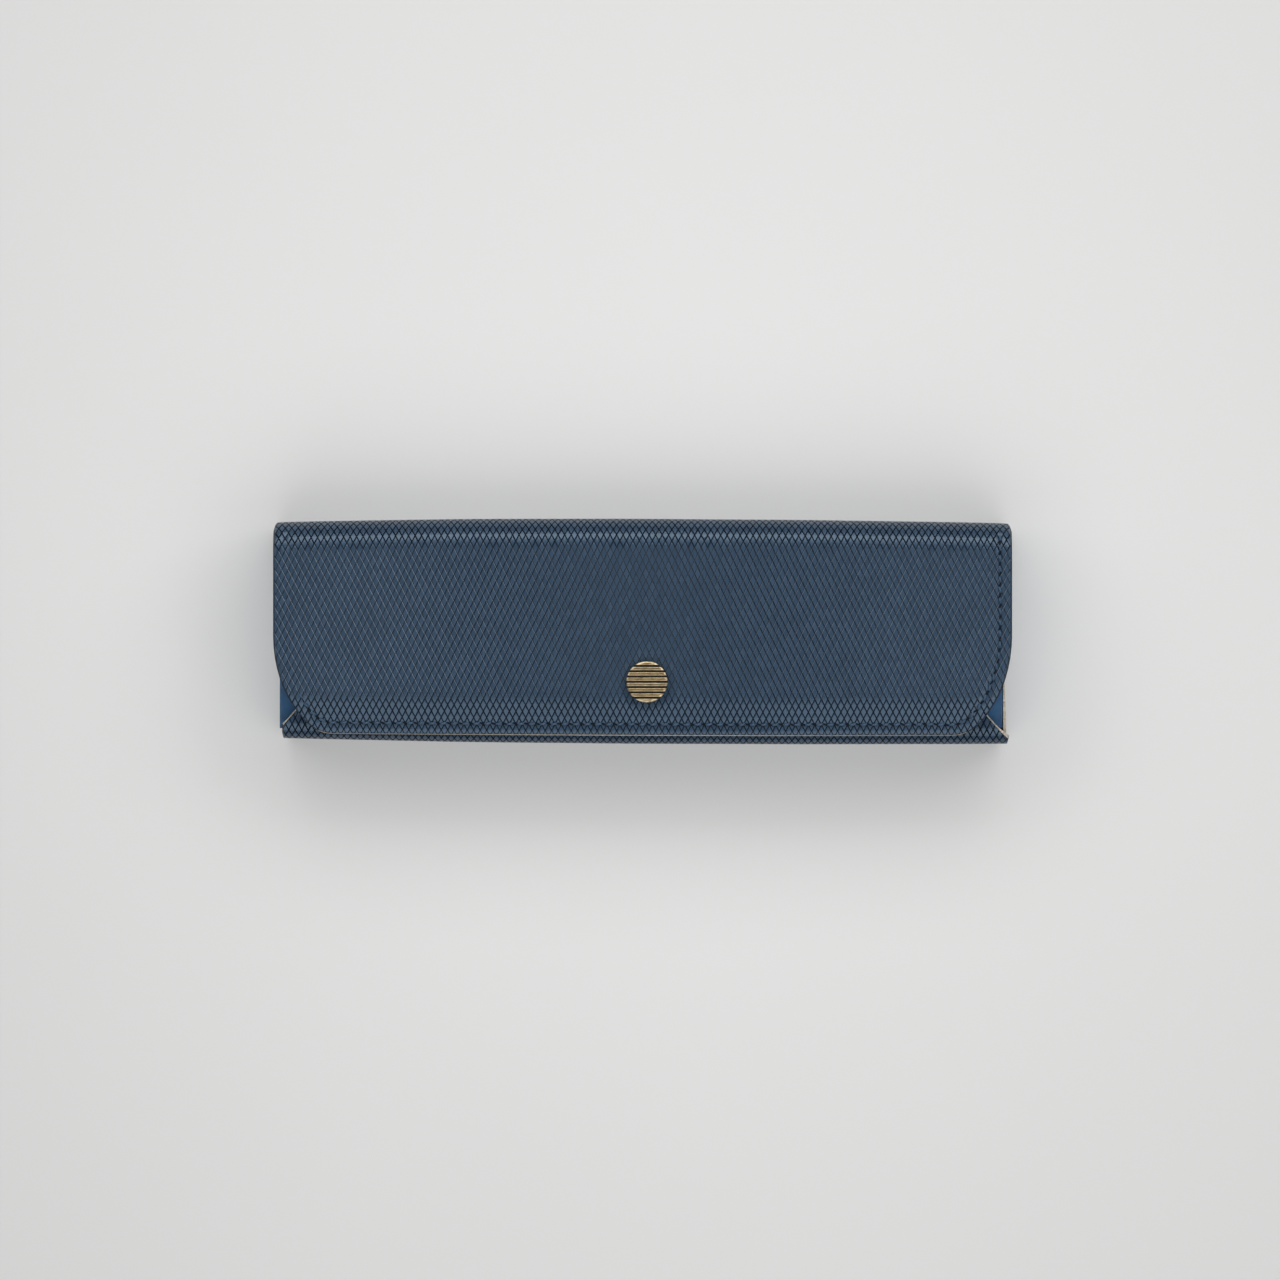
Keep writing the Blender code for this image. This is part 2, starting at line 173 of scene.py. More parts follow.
paper_mesh.from_pydata(corners, [], [(0, 1, 2, 3)])
paper_mesh.materials.append(paper)
floor = bpy.data.objects.new("floor", paper_mesh)
bpy.context.collection.objects.link(floor)


# The wrap's leather. Blue calf is pressed by a heated plate into rows of lozenges. The sloped sides between
# them are coloured near black: painted shade in the lines. On the flat of the flap, the sides that face back,
# turned towards the middle from either end, are coloured pale: painted glints of a lamp behind the case. The
# flap's edge is inked, and the mitred edges are left raw.
LEATHER = 0.0012
LOZENGE_WIDTH = 0.0015
LOZENGE_HEIGHT = 0.0030
PAD_SHARE = 0.79
PAD_RISE = 0.00013
PAD_UNEVEN_SHARES = (0.93, 1.08)
CROWN_SHARE = 0.6
CROWN_RISE = 0.000012
EDGE_FLARE = 0.00028
FLESH_STEP = 0.001
SMALLEST_EDGE = 0.00004
SAME_POINT = 1e-6
ON_THE_CUT = 1e-8
CREASE_ANGLE = math.radians(40)
LINE_SHADE_BLUE = (0.0040, 0.0090, 0.0170, 1)
PAD_BLUE = (0.0295, 0.0540, 0.0925, 1)
# Painted glints of the lamp behind: their pale colour, how the facing turns from end to end, and how sharply
# it falls off.
PAINTED_GLINT_BLUE = (0.1900, 0.2350, 0.2900, 1)
GLINT_TURN = math.radians(45)
GLINT_HALF = 0.060
GLINT_SHARPNESS = 1.7
LINE_STEEP = 0.3
LINE_FLAT = 0.96
GLAZE_BLUE = (0.68, 0.86, 1.0, 1)
CUT_CREAM = (0.720, 0.660, 0.560, 1)
CUT_TAN = (0.300, 0.240, 0.170, 1)
EDGE_INK = (0.008, 0.013, 0.022, 1)
LEATHER_GRAIN = 2400.0
TONE_SHARES = (0.93, 1.07)
CLOUD_SHARES = (0.95, 1.05)


def group(name, kind, inputs, outputs):
    """A node group with named sockets: its tree, the sockets that come in and those that go out."""
    tree = bpy.data.node_groups.new(name, kind)
    for title, socket in inputs:
        tree.interface.new_socket(title, in_out="INPUT", socket_type="NodeSocket" + socket)
    for title, socket in outputs:
        tree.interface.new_socket(title, in_out="OUTPUT", socket_type="NodeSocket" + socket)
    return tree, tree.nodes.new("NodeGroupInput").outputs, tree.nodes.new("NodeGroupOutput").inputs


grain, came, goes = group(
    "grain", "ShaderNodeTree",
    [("Vector", "Vector"), ("Scale", "Float")],
    [("Height", "Float"), ("Cloud", "Float")],
)
cells = node(grain, "ShaderNodeTexVoronoi", {"Vector": came["Vector"], "Scale": came["Scale"]},
             feature="DISTANCE_TO_EDGE")
creases = ranged(grain, cells.outputs[0], 0.0, 0.16)
pores = node(grain, "ShaderNodeTexNoise", {"Vector": came["Vector"], "Scale": came["Scale"], "Detail": 5.0})
grain.links.new(sums(grain, "MULTIPLY", creases, pores.outputs[0]), goes["Height"])
wide = sums(grain, "MULTIPLY", came["Scale"], 0.04)
drift = node(grain, "ShaderNodeTexNoise", {"Vector": came["Vector"], "Scale": wide, "Detail": 3.0})
grain.links.new(ranged(grain, drift.outputs[0], 0.3, 0.7), goes["Cloud"])

raw_cut, came, goes = group(
    "raw cut", "ShaderNodeTree",
    [("Vector", "Vector"), ("Cream", "Color"), ("Tan", "Color")],
    [("Colour", "Color")],
)
fibres = node(raw_cut, "ShaderNodeTexNoise", {"Vector": came["Vector"], "Scale": 2600.0, "Detail": 6.0,
                                              "Roughness": 0.75})
shown = ranged(raw_cut, fibres.outputs[0], 0.38, 0.66)
raw_cut.links.new(blended(raw_cut, shown, came["Tan"], came["Cream"]), goes["Colour"])


def flat_place(tree):
    """The place on a sheet before it was bent, from its own UV map."""
    return node(tree, "ShaderNodeUVMap", uv_map="flat").outputs[0]


def mark(tree, name):
    """A mark that the mesh carries, by its name."""
    return node(tree, "ShaderNodeAttribute", attribute_name=name).outputs["Fac"]


def bumped(tree, shader, height, strength, distance):
    """Gives a shader the fine relief of a height."""
    bump = node(tree, "ShaderNodeBump", {"Strength": strength, "Distance": distance, "Height": height})
    tree.links.new(bump.outputs[0], shader.inputs["Normal"])


embossed, tree, shader = material("embossed_leather", Specular_Tint=GLAZE_BLUE)
flat = flat_place(tree)
pad, tone, line, painted_glint, cut = [mark(tree, name) for name in ("pad", "tone", "line", "painted_glint", "cut")]
skin = node(tree, "ShaderNodeGroup", {"Vector": flat, "Scale": LEATHER_GRAIN}, node_tree=grain)
raw = node(tree, "ShaderNodeGroup", {"Vector": flat, "Cream": CUT_CREAM, "Tan": CUT_TAN}, node_tree=raw_cut)
tree.links.new(ranged(tree, line, 0, 1, 0.6, 0.12), shader.inputs["Specular IOR Level"])
# The lozenges' sloped sides take the near-black line colour: painted shade in the grooves.
blue = blended(tree, line, PAD_BLUE, LINE_SHADE_BLUE)
# Sides that face the lamp behind are made pale: painted glints.
blue = blended(tree, painted_glint, blue, PAINTED_GLINT_BLUE)
blue = blended(tree, 1.0, blue, ranged(tree, tone, 0, 1, *TONE_SHARES), "MULTIPLY")
blue = blended(tree, 1.0, blue, ranged(tree, skin.outputs["Cloud"], 0, 1, *CLOUD_SHARES), "MULTIPLY")
edge = blended(tree, ranged(tree, cut, 1, 2), EDGE_INK, raw.outputs["Colour"])
tree.links.new(blended(tree, cut, blue, edge), shader.inputs["Base Color"])
gloss = sums(tree, "ADD", ranged(tree, pad, 0.2, 0.9, 0.34, 0.26), ranged(tree, tone, 0, 1, -0.01, 0.02))
tree.links.new(ranged(tree, cut, 0, 1, gloss, 0.9), shader.inputs["Roughness"])
bumped(tree, shader, skin.outputs["Height"], 0.35, 0.00003)

emboss, came, goes = group(
    "emboss", "GeometryNodeTree",
    [("Flat", "Geometry"), ("Pad rise", "Float"), ("Pad share", "Float"), ("Crown rise", "Float"),
     ("Crown share", "Float"), ("Finish", "Material")],
    [("Leather", "Geometry")],
)
chance = node(emboss, "FunctionNodeRandomValue", {"Seed": 7}, data_type="FLOAT")
toned = node(emboss, "GeometryNodeStoreNamedAttribute", {"Geometry": came["Flat"], "Name": "tone",
                                                         "Value": chance.outputs[1]},
             data_type="FLOAT", domain="FACE")
raised = toned.outputs[0]
picked = True
least, most = PAD_UNEVEN_SHARES
uneven = node(emboss, "FunctionNodeRandomValue", {2: least, 3: most, "Seed": 3}, data_type="FLOAT").outputs[1]
for rise, share, by_chance in (("Pad rise", "Pad share", uneven), ("Crown rise", "Crown share", 1.0)):
    height = sums(emboss, "MULTIPLY", came[rise], by_chance)
    lifted = node(emboss, "GeometryNodeExtrudeMesh", {"Mesh": raised, "Selection": picked,
                                                      "Offset Scale": height})
    picked = lifted.outputs["Top"]
    raised = node(emboss, "GeometryNodeScaleElements", {"Geometry": lifted.outputs["Mesh"],
                                                        "Selection": picked, "Scale": came[share]}).outputs[0]
real = node(emboss, "GeometryNodeRealizeInstances", {"Geometry": raised}).outputs[0]
covered = node(emboss, "GeometryNodeSetMaterial", {"Geometry": real, "Material": came["Finish"]}).outputs[0]
emboss.links.new(covered, goes["Leather"])


def grown(mesh, tree, values):
    """The plain mesh that a Geometry Nodes tree makes of a mesh, with its named inputs set."""
    holder = bpy.data.objects.new("holder", mesh)
    bpy.context.collection.objects.link(holder)
    modifier = holder.modifiers.new("grow", "NODES")
    modifier.node_group = tree
    for title, value in values.items():
        modifier[tree.interface.items_tree[title].identifier] = value
    graph = bpy.context.evaluated_depsgraph_get()
    made = bpy.data.meshes.new_from_object(holder.evaluated_get(graph), preserve_all_data_layers=True,
                                           depsgraph=graph)
    bpy.data.objects.remove(holder)
    finish = made.materials[-1]
    made.materials.clear()
    made.materials.append(finish)
    return made


def mesh_of(name, work):
    """A new mesh of what was made in bmesh, which is then let go."""
    made = bpy.data.meshes.new(name)
    work.to_mesh(made)
    work.free()
    return made


def lozenges(regions):
    """Flat lozenges that fill regions of the hide, each given by its corners in turn to the left."""
    whole = bmesh.new()
    from_region = whole.faces.layers.int.new("region")
    for number, corners in enumerate(regions, start=1):
        patch = bmesh.new()
        marked = patch.faces.layers.int.new("region")
        across, along = LOZENGE_WIDTH / 2, LOZENGE_HEIGHT / 2
        low_column = math.floor(min(x for x, run in corners) / across)
        high_column = math.ceil(max(x for x, run in corners) / across)
        low_row = math.floor(min(run for x, run in corners) / along)
        high_row = math.ceil(max(run for x, run in corners) / along)
        points = {}
        for row in range(low_row, high_row + 1):
            for column in range(low_column, high_column + 1):
                if (row + column) % 2:
                    continue
                ring = []
                for place in ((column + 1, row), (column, row + 1), (column - 1, row), (column, row - 1)):
                    if place not in points:
                        points[place] = patch.verts.new((place[0] * across, place[1] * along, 0))
                    ring.append(points[place])
                patch.faces.new(ring)[marked] = number
        for (x, run), (next_x, next_run) in zip(corners, corners[1:] + corners[:1]):
            everything = patch.verts[:] + patch.edges[:] + patch.faces[:]
            outwards = (next_run - run, x - next_x, 0)
            bmesh.ops.bisect_plane(patch, geom=everything, dist=ON_THE_CUT, plane_co=(x, run, 0),
                                   plane_no=outwards, clear_outer=True)
        whole.from_mesh(mesh_of("trimmed", patch))
    bmesh.ops.remove_doubles(whole, verts=whole.verts, dist=SAME_POINT)
    seams = []
    for edge in whole.edges:
        if len({face[from_region] for face in edge.link_faces}) == 2:
            seams.append(edge)
    bmesh.ops.dissolve_edges(whole, edges=seams, use_verts=False)
    rim = dict.fromkeys(vertex for edge in whole.edges if edge.is_boundary for vertex in edge.verts)
    bmesh.ops.remove_doubles(whole, verts=list(rim), dist=SMALLEST_EDGE)
    return mesh_of("lozenges", whole)


def cut_out(mesh, thickness, rawness):
    """Closes a flat embossed hide with its cut edges and its flesh side, in strips that can bend.

    A cut edge is marked 1 where it is inked and 2 where it is left raw.
    """
    work = bmesh.new()
    work.from_mesh(mesh)
    cut_mark = work.faces.layers.float.new("cut")
    rim = [edge for edge in work.edges if edge.is_boundary]
    made = bmesh.ops.extrude_edge_only(work, edges=rim)["geom"]
    low = [part for part in made if isinstance(part, bmesh.types.BMVert)]
    walls = [part for part in made if isinstance(part, bmesh.types.BMFace)]
    for vertex in low:
        vertex.co.z = -thickness
    low_edges = [edge for edge in work.edges if edge.is_boundary]
    flesh = bmesh.ops.edgeloop_fill(work, edges=low_edges)["faces"]
    bmesh.ops.recalc_face_normals(work, faces=work.faces)
    for wall in walls:
        wall[cut_mark] = 1 + rawness(*wall.calc_center_median().xy)
    walls = set(walls)
    shifts = []
    for vertex in low:
        outwards = sum((face.normal for face in vertex.link_faces if face in walls), start=vertex.normal * 0)
        outwards.z = 0
        shifts.append(outwards.normalized() * EDGE_FLARE)
    for vertex, shift in zip(low, shifts):
        vertex.co += shift
    runs = [vertex.co.y for vertex in low]
    geometry = dict.fromkeys(flesh)
    for face in flesh:
        geometry.update(dict.fromkeys(face.edges))
        geometry.update(dict.fromkeys(face.verts))
    geometry = list(geometry)
    run = min(runs) + FLESH_STEP
    while run < max(runs):
        found = bmesh.ops.bisect_plane(work, geom=geometry, dist=ON_THE_CUT, plane_co=(0, run, 0),
                                       plane_no=(0, 1, 0))
        geometry = found["geom"]
        run += FLESH_STEP
    made = mesh_of("hide", work)
    made.materials.append(mesh.materials[0])
    return made


def bent_line(start_y, legs, facing=1):
    """The outside of a sheet as it leaves the underside, in legs of a length and, where one bends, a radius.

    It gives, for distances along it, the place and the direction into the sheet, as y, z, y and z. The line
    runs towards the spine, or towards the front where it faces -1.
    """
    def place(runs):
        runs = np.asarray(runs, float)
        found = np.zeros((4, *runs.shape))
        y, z, heading, done = start_y * facing, 0.0, 0.0, 0.0
        for number, (length, radius) in enumerate(legs):
            here = runs >= done if number else np.ones(runs.shape, bool)
            step = runs[here] - done
            if radius:
                turned = heading + step / radius
                found[0][here] = y + radius * (np.sin(turned) - math.sin(heading))
                found[1][here] = z + radius * (math.cos(heading) - np.cos(turned))
                y += radius * (math.sin(heading + length / radius) - math.sin(heading))
                z += radius * (math.cos(heading) - math.cos(heading + length / radius))
                heading += length / radius
            else:
                turned = np.full(step.shape, heading)
                found[0][here] = y + step * math.cos(heading)
                found[1][here] = z + step * math.sin(heading)
                y += length * math.cos(heading)
                z += length * math.sin(heading)
            found[2][here] = -np.sin(turned)
            found[3][here] = np.cos(turned)
            done += length
        found[0] *= facing
        found[2] *= facing
        return found
    return place


# How the case lies. Soft leather never keeps straight lines: the long sides bow out, the front runs a little
# askew, and the spine's two ends are rubbed round.
BACK_BOW = 0.0008
BACK_REST = 0.00045
BACK_MIDDLE = -0.008
BACK_FROM = 0.004
BACK_EASE = 0.018
FRONT_BOW = 0.0006
FRONT_SKEW = 0.0075
FRONT_REST = -0.0004
FRONT_FROM = -0.004
FRONT_EASE = 0.016
BOW_HALF = 0.077
RUBBED_LENGTH = 0.0007
RUBBED_DEPTH = 0.0006
FLAP_SHARE = 0.4
DROOP_START = -0.0140
DROOP_END = -0.0206
DROOP_RADII = (0.0130, 0.0164)
DROOP_TILTS = (math.radians(17), math.radians(7))
FLAP_LIFT = 0.0009
LIFT_MIDDLE = 0.010
LIFT_WIDTH = 0.042
LIFT_CURVE = 1.6
LIFT_LIMIT = 1.1
WAVES = ((0.00006, 0.021, 0.013, 0.4), (0.00005, 0.034, 0.019, 2.1), (0.00003, 0.0087, 0.0071, 4.0))

case_half = flap_high.x
body_low, body_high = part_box("body_wrap")
panel_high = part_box("panel_leather")[1]
spine_y, front_y = body_high.y, body_low.y
top, panel_top = flap_high.z, panel_high.z


def eased(share):
    """A share that starts and ends gently, kept between 0 and 1."""
    share = np.clip(share, 0, 1)
    return share * share * (3 - 2 * share)


def settled(points, on_flap=False):
    """Moves points of the straight case to where the real leather lies.

    The flap stands up a little in the middle, where the press stud holds it, and droops more to its corners.
    """
    x, y, z = points.T
    back = eased((y - BACK_FROM) / BACK_EASE)
    front = eased((FRONT_FROM - y) / FRONT_EASE) * (FLAP_SHARE if on_flap else 1)
    rubbed = np.clip((np.abs(x) - case_half + RUBBED_LENGTH) / RUBBED_LENGTH, 0, 1)
    back_shift = BACK_REST - BACK_BOW * ((x - BACK_MIDDLE) / BOW_HALF) ** 2 - RUBBED_DEPTH * rubbed ** 2
    front_shift = FRONT_REST - FRONT_SKEW * x + FRONT_BOW * (x / BOW_HALF) ** 2
    points = points.copy()
    points[:, 1] += back * back_shift + front * front_shift
    if on_flap:
        out = np.clip((DROOP_START - y) / (DROOP_START - flap_low.y), 0, LIFT_LIMIT)
        points[:, 2] += FLAP_LIFT * out ** LIFT_CURVE * np.exp(-((x - LIFT_MIDDLE) / LIFT_WIDTH) ** 2)
    return points


def waved(x, run):
    """How far the hide stands out from its line, from place to place."""
    height = np.zeros(np.shape(x))
    for amount, across, along, turn in WAVES:
        height += amount * np.sin(x / across + turn) * np.cos(run / along + turn * x / case_half)
    return height


def finished(name, mesh, crease=CREASE_ANGLE):
    """The object of a mesh that is done, smooth but for its creases."""
    mesh.shade_smooth()
    mesh.set_sharp_from_angle(angle=crease)
    made = bpy.data.objects.new(name, mesh)
    bpy.context.collection.objects.link(made)
    return made


def spread_out(mesh, places):
    """Gives a mesh its flat UV map, from the place of each point before the sheet was bent."""
    corner_points = np.empty(len(mesh.loops), np.int32)
    mesh.loops.foreach_get("vertex_index", corner_points)
    mesh.uv_layers.new(name="flat").data.foreach_set("uv", places[corner_points].ravel())


def laid(name, mesh, place, depth_of, flip, on_flap=False):
    """Lays a flat mesh on a line of the case, at the depth below its outside that a rule gives."""
    flat = np.empty(len(mesh.vertices) * 3)
    mesh.vertices.foreach_get("co", flat)
    x, run, height = flat.reshape(-1, 3).T
    y, z, into_y, into_z = place(run)
    depth = depth_of(x, run, height) - waved(x, run) * (1 - np.clip(into_z, 0, 1))
    points = settled(np.column_stack((x, y + into_y * depth, z + into_z * depth)), on_flap)
    mesh.vertices.foreach_set("co", points.ravel())
    spread_out(mesh, np.column_stack((x, run)))
    if flip:
        mesh.flip_normals()
    mesh.update()
    return finished(name, mesh)


GROOVE = PAD_RISE + CROWN_RISE


def hide_depth(pressed=None):
    """The depth of an embossed hide's points, with the pattern crushed where a rule says how far."""
    def depth_of(x, run, height):
        relief, dent = pressed(x, run) if pressed else (1.0, 0.0)
        outside = GROOVE - height * relief + dent
        return np.where(height >= 0, outside, GROOVE - height)
    return depth_of


def mark_shade_and_glints(mesh, glint_level):
    """Marks the sides of a flat hide's lozenges as lines, for painted shade, and those that face a lamp
    behind the case as painted glints, as strong as the glint level gives.
    """
    centres, normals = np.empty(len(mesh.polygons) * 3), np.empty(len(mesh.polygons) * 3)
    mesh.polygons.foreach_get("center", centres)
    mesh.polygons.foreach_get("normal", normals)
    x, run, height = centres.reshape(-1, 3).T
    across, along, up = normals.reshape(-1, 3).T
    line = (height > 0) & (up > LINE_STEEP) & (up < LINE_FLAT)
    # The painted glints go on sides that face back, turned towards the middle from either end, as if from a
    # lamp behind.
    turn = GLINT_TURN * np.clip(-x / GLINT_HALF, -1, 1)
    level = np.maximum(np.hypot(across, along), SAME_POINT)
    facing = (across * np.sin(turn) - along * np.cos(turn)) / level
    painted_glint = line * np.clip(facing, 0, 1) ** GLINT_SHARPNESS * glint_level(x, run)
    for name, values in (("line", line), ("painted_glint", painted_glint)):
        mesh.attributes.new(name, "FLOAT", "FACE").data.foreach_set("value", values.astype(np.float32))


def hide(name, regions, place, pressed, flip, rawness, glint_level=lambda x, run: 0, on_flap=False):
    """An embossed sheet of the wrap, from its flat outline to its place on the case."""
    values = {"Pad rise": PAD_RISE, "Pad share": PAD_SHARE, "Crown rise": CROWN_RISE,
              "Crown share": CROWN_SHARE, "Finish": embossed}
    mesh = grown(lozenges(regions), emboss, values)
    mesh = cut_out(mesh, LEATHER - GROOVE, rawness)
    mark_shade_and_glints(mesh, glint_level)
    heights = np.empty(len(mesh.vertices) * 3)
    mesh.vertices.foreach_get("co", heights)
    pads = mesh.attributes.new("pad", "FLOAT", "POINT")
    pads.data.foreach_set("value", np.clip(heights[2::3] / GROOVE, 0, 1).astype(np.float32))
    return laid(name, mesh, place, hide_depth(pressed), flip, on_flap)


# The flap, the spine and the back of the floor, in one hide. The flap ends in long rounded corners. It droops
# over the edge of its board, and its stitched margin lies flatter again, on the front panel.
SPINE_RADIUS = 0.007
BASE_RADIUS = 0.004
FLOOR_SEAM = 0.012
CORNER_ACROSS = 0.013
CORNER_ALONG = 0.0228
CORNER_STEPS = 14
FOOT_HALF = 0.0835
RAW_BAND = 0.0006
RAW_SHARE = 0.4
RAW_MIDDLE_SHARE = 0.5
RAW_MIDDLE_HALF = 0.05
STITCH_INSET = 0.0025
STITCH_START_SHARE = 0.645
FURROW_WIDTH = 0.0007
FURROW_DEPTH = 0.00022
FURROW_CRUSH_SHARE = 0.75
SNAP_X = 0.001
SNAP_Y = -0.01165
CAP_RADIUS = 0.00475
SEAT_WIDTH = 0.0011
SEAT_DEPTH = 0.00020
SEAT_CRUSH_SHARE = 0.7
WORN_SNAP_SHARE = 0.25
WORN_SNAP_WIDTH = 3 * CAP_RADIUS
EDGE_ROLL = 0.00035
EDGE_ROLL_WIDTH = 0.0024
EDGE_ROLL_BACK_SHARE = 0.45
FLAT_RELIEF = 0.75
FOLD_RELIEF = 1.20
FOLD_EASE = 0.003
FOLD_FADE = 0.004
FOLD_PAST = 0.001
WORN_MIDDLE_SHARE = 0.15
WORN_MIDDLE_X = 0.030
WORN_MIDDLE_BEHIND = 0.012
WORN_MIDDLE_SIZE = (0.052, 0.020)
STUD_BULGE = 0.00022
STUD_BULGE_WIDTH = 0.009
# Where the painted glints lie on the flap: from just past the spine's fold to the droop, weaker to the right.
GLINT_BEFORE = 0.002
GLINT_PAST = 0.003
GLINT_LEFT_SHARE = 0.82
GLINT_LESS_SHARE = 0.20
GLINT_LESS_FROM = -0.010
GLINT_LESS_WIDTH = 0.040

steep, slight = DROOP_TILTS
flap_legs = [
    (spine_y - BASE_RADIUS - FLOOR_SEAM, 0),
    (quarter * BASE_RADIUS, BASE_RADIUS),
    (top - SPINE_RADIUS - BASE_RADIUS, 0),
    (quarter * SPINE_RADIUS, SPINE_RADIUS),
    (spine_y - SPINE_RADIUS - DROOP_START, 0),
    (steep * DROOP_RADII[0], DROOP_RADII[0]),
    ((steep - slight) * DROOP_RADII[1], -DROOP_RADII[1]),
    ((DROOP_END - flap_low.y) / math.cos(slight), 0),
]
flap_line = bent_line(FLOOR_SEAM, flap_legs)
flap_end = sum(length for length, radius in flap_legs)
spine_start = sum(length for length, radius in flap_legs[:3])
spine_end = sum(length for length, radius in flap_legs[:4])
stitch_start = spine_start + STITCH_START_SHARE * (spine_end - spine_start)

flap_corner = []
for step in range(CORNER_STEPS + 1):
    t = step / CORNER_STEPS
    late = 3 * (1 - t) * t ** 2
    along = 3 * (1 - t) ** 2 * t / 2 + late + t ** 3
    across = late / 2 + t ** 3
    flap_corner.append((case_half - CORNER_ACROSS * across, flap_end - CORNER_ALONG * (1 - along)))
other_corner = [(-x, run) for x, run in reversed(flap_corner)]
foot_end = flap_legs[0][0]
flap_outline = [(-case_half, foot_end), (-FOOT_HALF, 0), (FOOT_HALF, 0), (case_half, foot_end)]
flap_outline += flap_corner + other_corner

edge_line = [(case_half, stitch_start)] + flap_corner + other_corner + [(-case_half, stitch_start)]
edge_line = np.array(edge_line)
heading = np.gradient(edge_line, axis=0)
heading /= np.linalg.norm(heading, axis=1)[:, None]
stitch_line = edge_line + STITCH_INSET * np.column_stack((-heading[:, 1], heading[:, 0]))


def distance_to(line, x, run):
    """The distance of flat points from a line of straight pieces."""
    points = np.column_stack((x, run))
    nearest = np.full(len(points), np.inf)
    for start, end in zip(line, line[1:]):
        way = end - start
        share = np.clip((points - start) @ way / (way @ way), 0, 1)
        gap = points - start - share[:, None] * way
        nearest = np.minimum(nearest, np.hypot(gap[:, 0], gap[:, 1]))
    return nearest


snap_run = spine_end + spine_y - SPINE_RADIUS - SNAP_Y


def flap_pressed(x, run):
    """How much of the pattern is left at a point of the flap, and how far the hide is dented there."""
    from_thread = distance_to(stitch_line, x, run)
    from_snap = np.hypot(x - SNAP_X, run - snap_run)
    thread = np.exp(-(from_thread / FURROW_WIDTH) ** 2)
    seat = np.exp(-((from_snap - CAP_RADIUS) / SEAT_WIDTH) ** 2)
    seat = np.where(from_snap < CAP_RADIUS, 1.0, seat)
    worn = WORN_SNAP_SHARE * np.exp(-(from_snap / WORN_SNAP_WIDTH) ** 2)
    inside = np.minimum(distance_to(edge_line, x, run), case_half - np.abs(x))
    rolled = EDGE_ROLL * np.clip(1 - inside / EDGE_ROLL_WIDTH, 0, 1) ** 2
    forward = eased((run - flap_corner[0][1]) / CORNER_ALONG)
    rolled = rolled * (EDGE_ROLL_BACK_SHARE + (1 - EDGE_ROLL_BACK_SHARE) * forward)
    width, length = WORN_MIDDLE_SIZE
    off_x, off_run = (x - WORN_MIDDLE_X) / width, (run - snap_run + WORN_MIDDLE_BEHIND) / length
    middle = WORN_MIDDLE_SHARE * np.exp(-off_x ** 2 - off_run ** 2)
    started = eased((run - spine_start) / FOLD_EASE)
    folded = started * eased((spine_end + FOLD_PAST - run) / FOLD_FADE)
    level = 1 + (FLAT_RELIEF - 1) * started
    relief = level + (FOLD_RELIEF - level) * folded
    relief = relief * (1 - FURROW_CRUSH_SHARE * thread) * (1 - SEAT_CRUSH_SHARE * seat)
    relief = relief * (1 - np.maximum(worn, middle))
    bulge = STUD_BULGE * np.exp(-(from_snap / STUD_BULGE_WIDTH) ** 2)
    return relief, FURROW_DEPTH * thread + SEAT_DEPTH * seat + rolled - bulge


def flap_glint_level(x, run):
    """How strong the painted glints are on the flap: none on its folds, and less to the right."""
    droop_run = spine_end + spine_y - SPINE_RADIUS - DROOP_START
    level = eased((run - spine_end + GLINT_BEFORE) / FOLD_EASE)
    level = level * eased((droop_run + GLINT_PAST - run) / FOLD_FADE)
    return level * (GLINT_LEFT_SHARE - GLINT_LESS_SHARE * eased((x - GLINT_LESS_FROM) / GLINT_LESS_WIDTH))


def flap_rawness(x, run):
    """How much of the flap's front edge shows the raw cream through its ink: more in the middle."""
    middle = RAW_MIDDLE_SHARE * math.exp(-(x / RAW_MIDDLE_HALF) ** 2)
    return (run > flap_end - RAW_BAND) * (RAW_SHARE + middle)


flap_hide = hide("flap_and_spine", [flap_outline], flap_line, flap_pressed, flip=True, rawness=flap_rawness,
                 glint_level=flap_glint_level, on_flap=True)
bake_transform(flap_hide)
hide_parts("body_wrap", "flap_leather")

# The floor between the spine's leather and the front's: a strip of the same embossed calf, glued under the
# floor board and butted against both hides.
floor_line = bent_line(-FLOOR_SEAM, [(2 * FLOOR_SEAM, 0)])
floor_outline = [(-FOOT_HALF, 0), (FOOT_HALF, 0), (FOOT_HALF, 2 * FLOOR_SEAM), (-FOOT_HALF, 2 * FLOOR_SEAM)]
floor_hide = hide("floor_leather", [floor_outline], floor_line, None, flip=True, rawness=lambda x, run: 0)
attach(floor_hide, "case")
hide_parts("body_wrap")

# The front wall and the panel that folds in under the flap, in one hide. The panel's corners are mitred, and
# the right one is cut further down the fold than the left.
FRONT_RADIUS = 0.004
FRONT_FOLD_EASE = 0.002
LEFT_FOOT_HALF = FOOT_HALF
RIGHT_FOOT_HALF = 0.0838
FRONT_LEFT_HALF = 0.0830
FRONT_RIGHT_HALF = 0.0844
PANEL_HALF = 0.0765
PANEL_CORNER = 0.006
PANEL_CORNER_STEPS = 8
LEFT_MITRE = (0.00535, 0.0075)
RIGHT_MITRE = (0.00310, 0.0090)

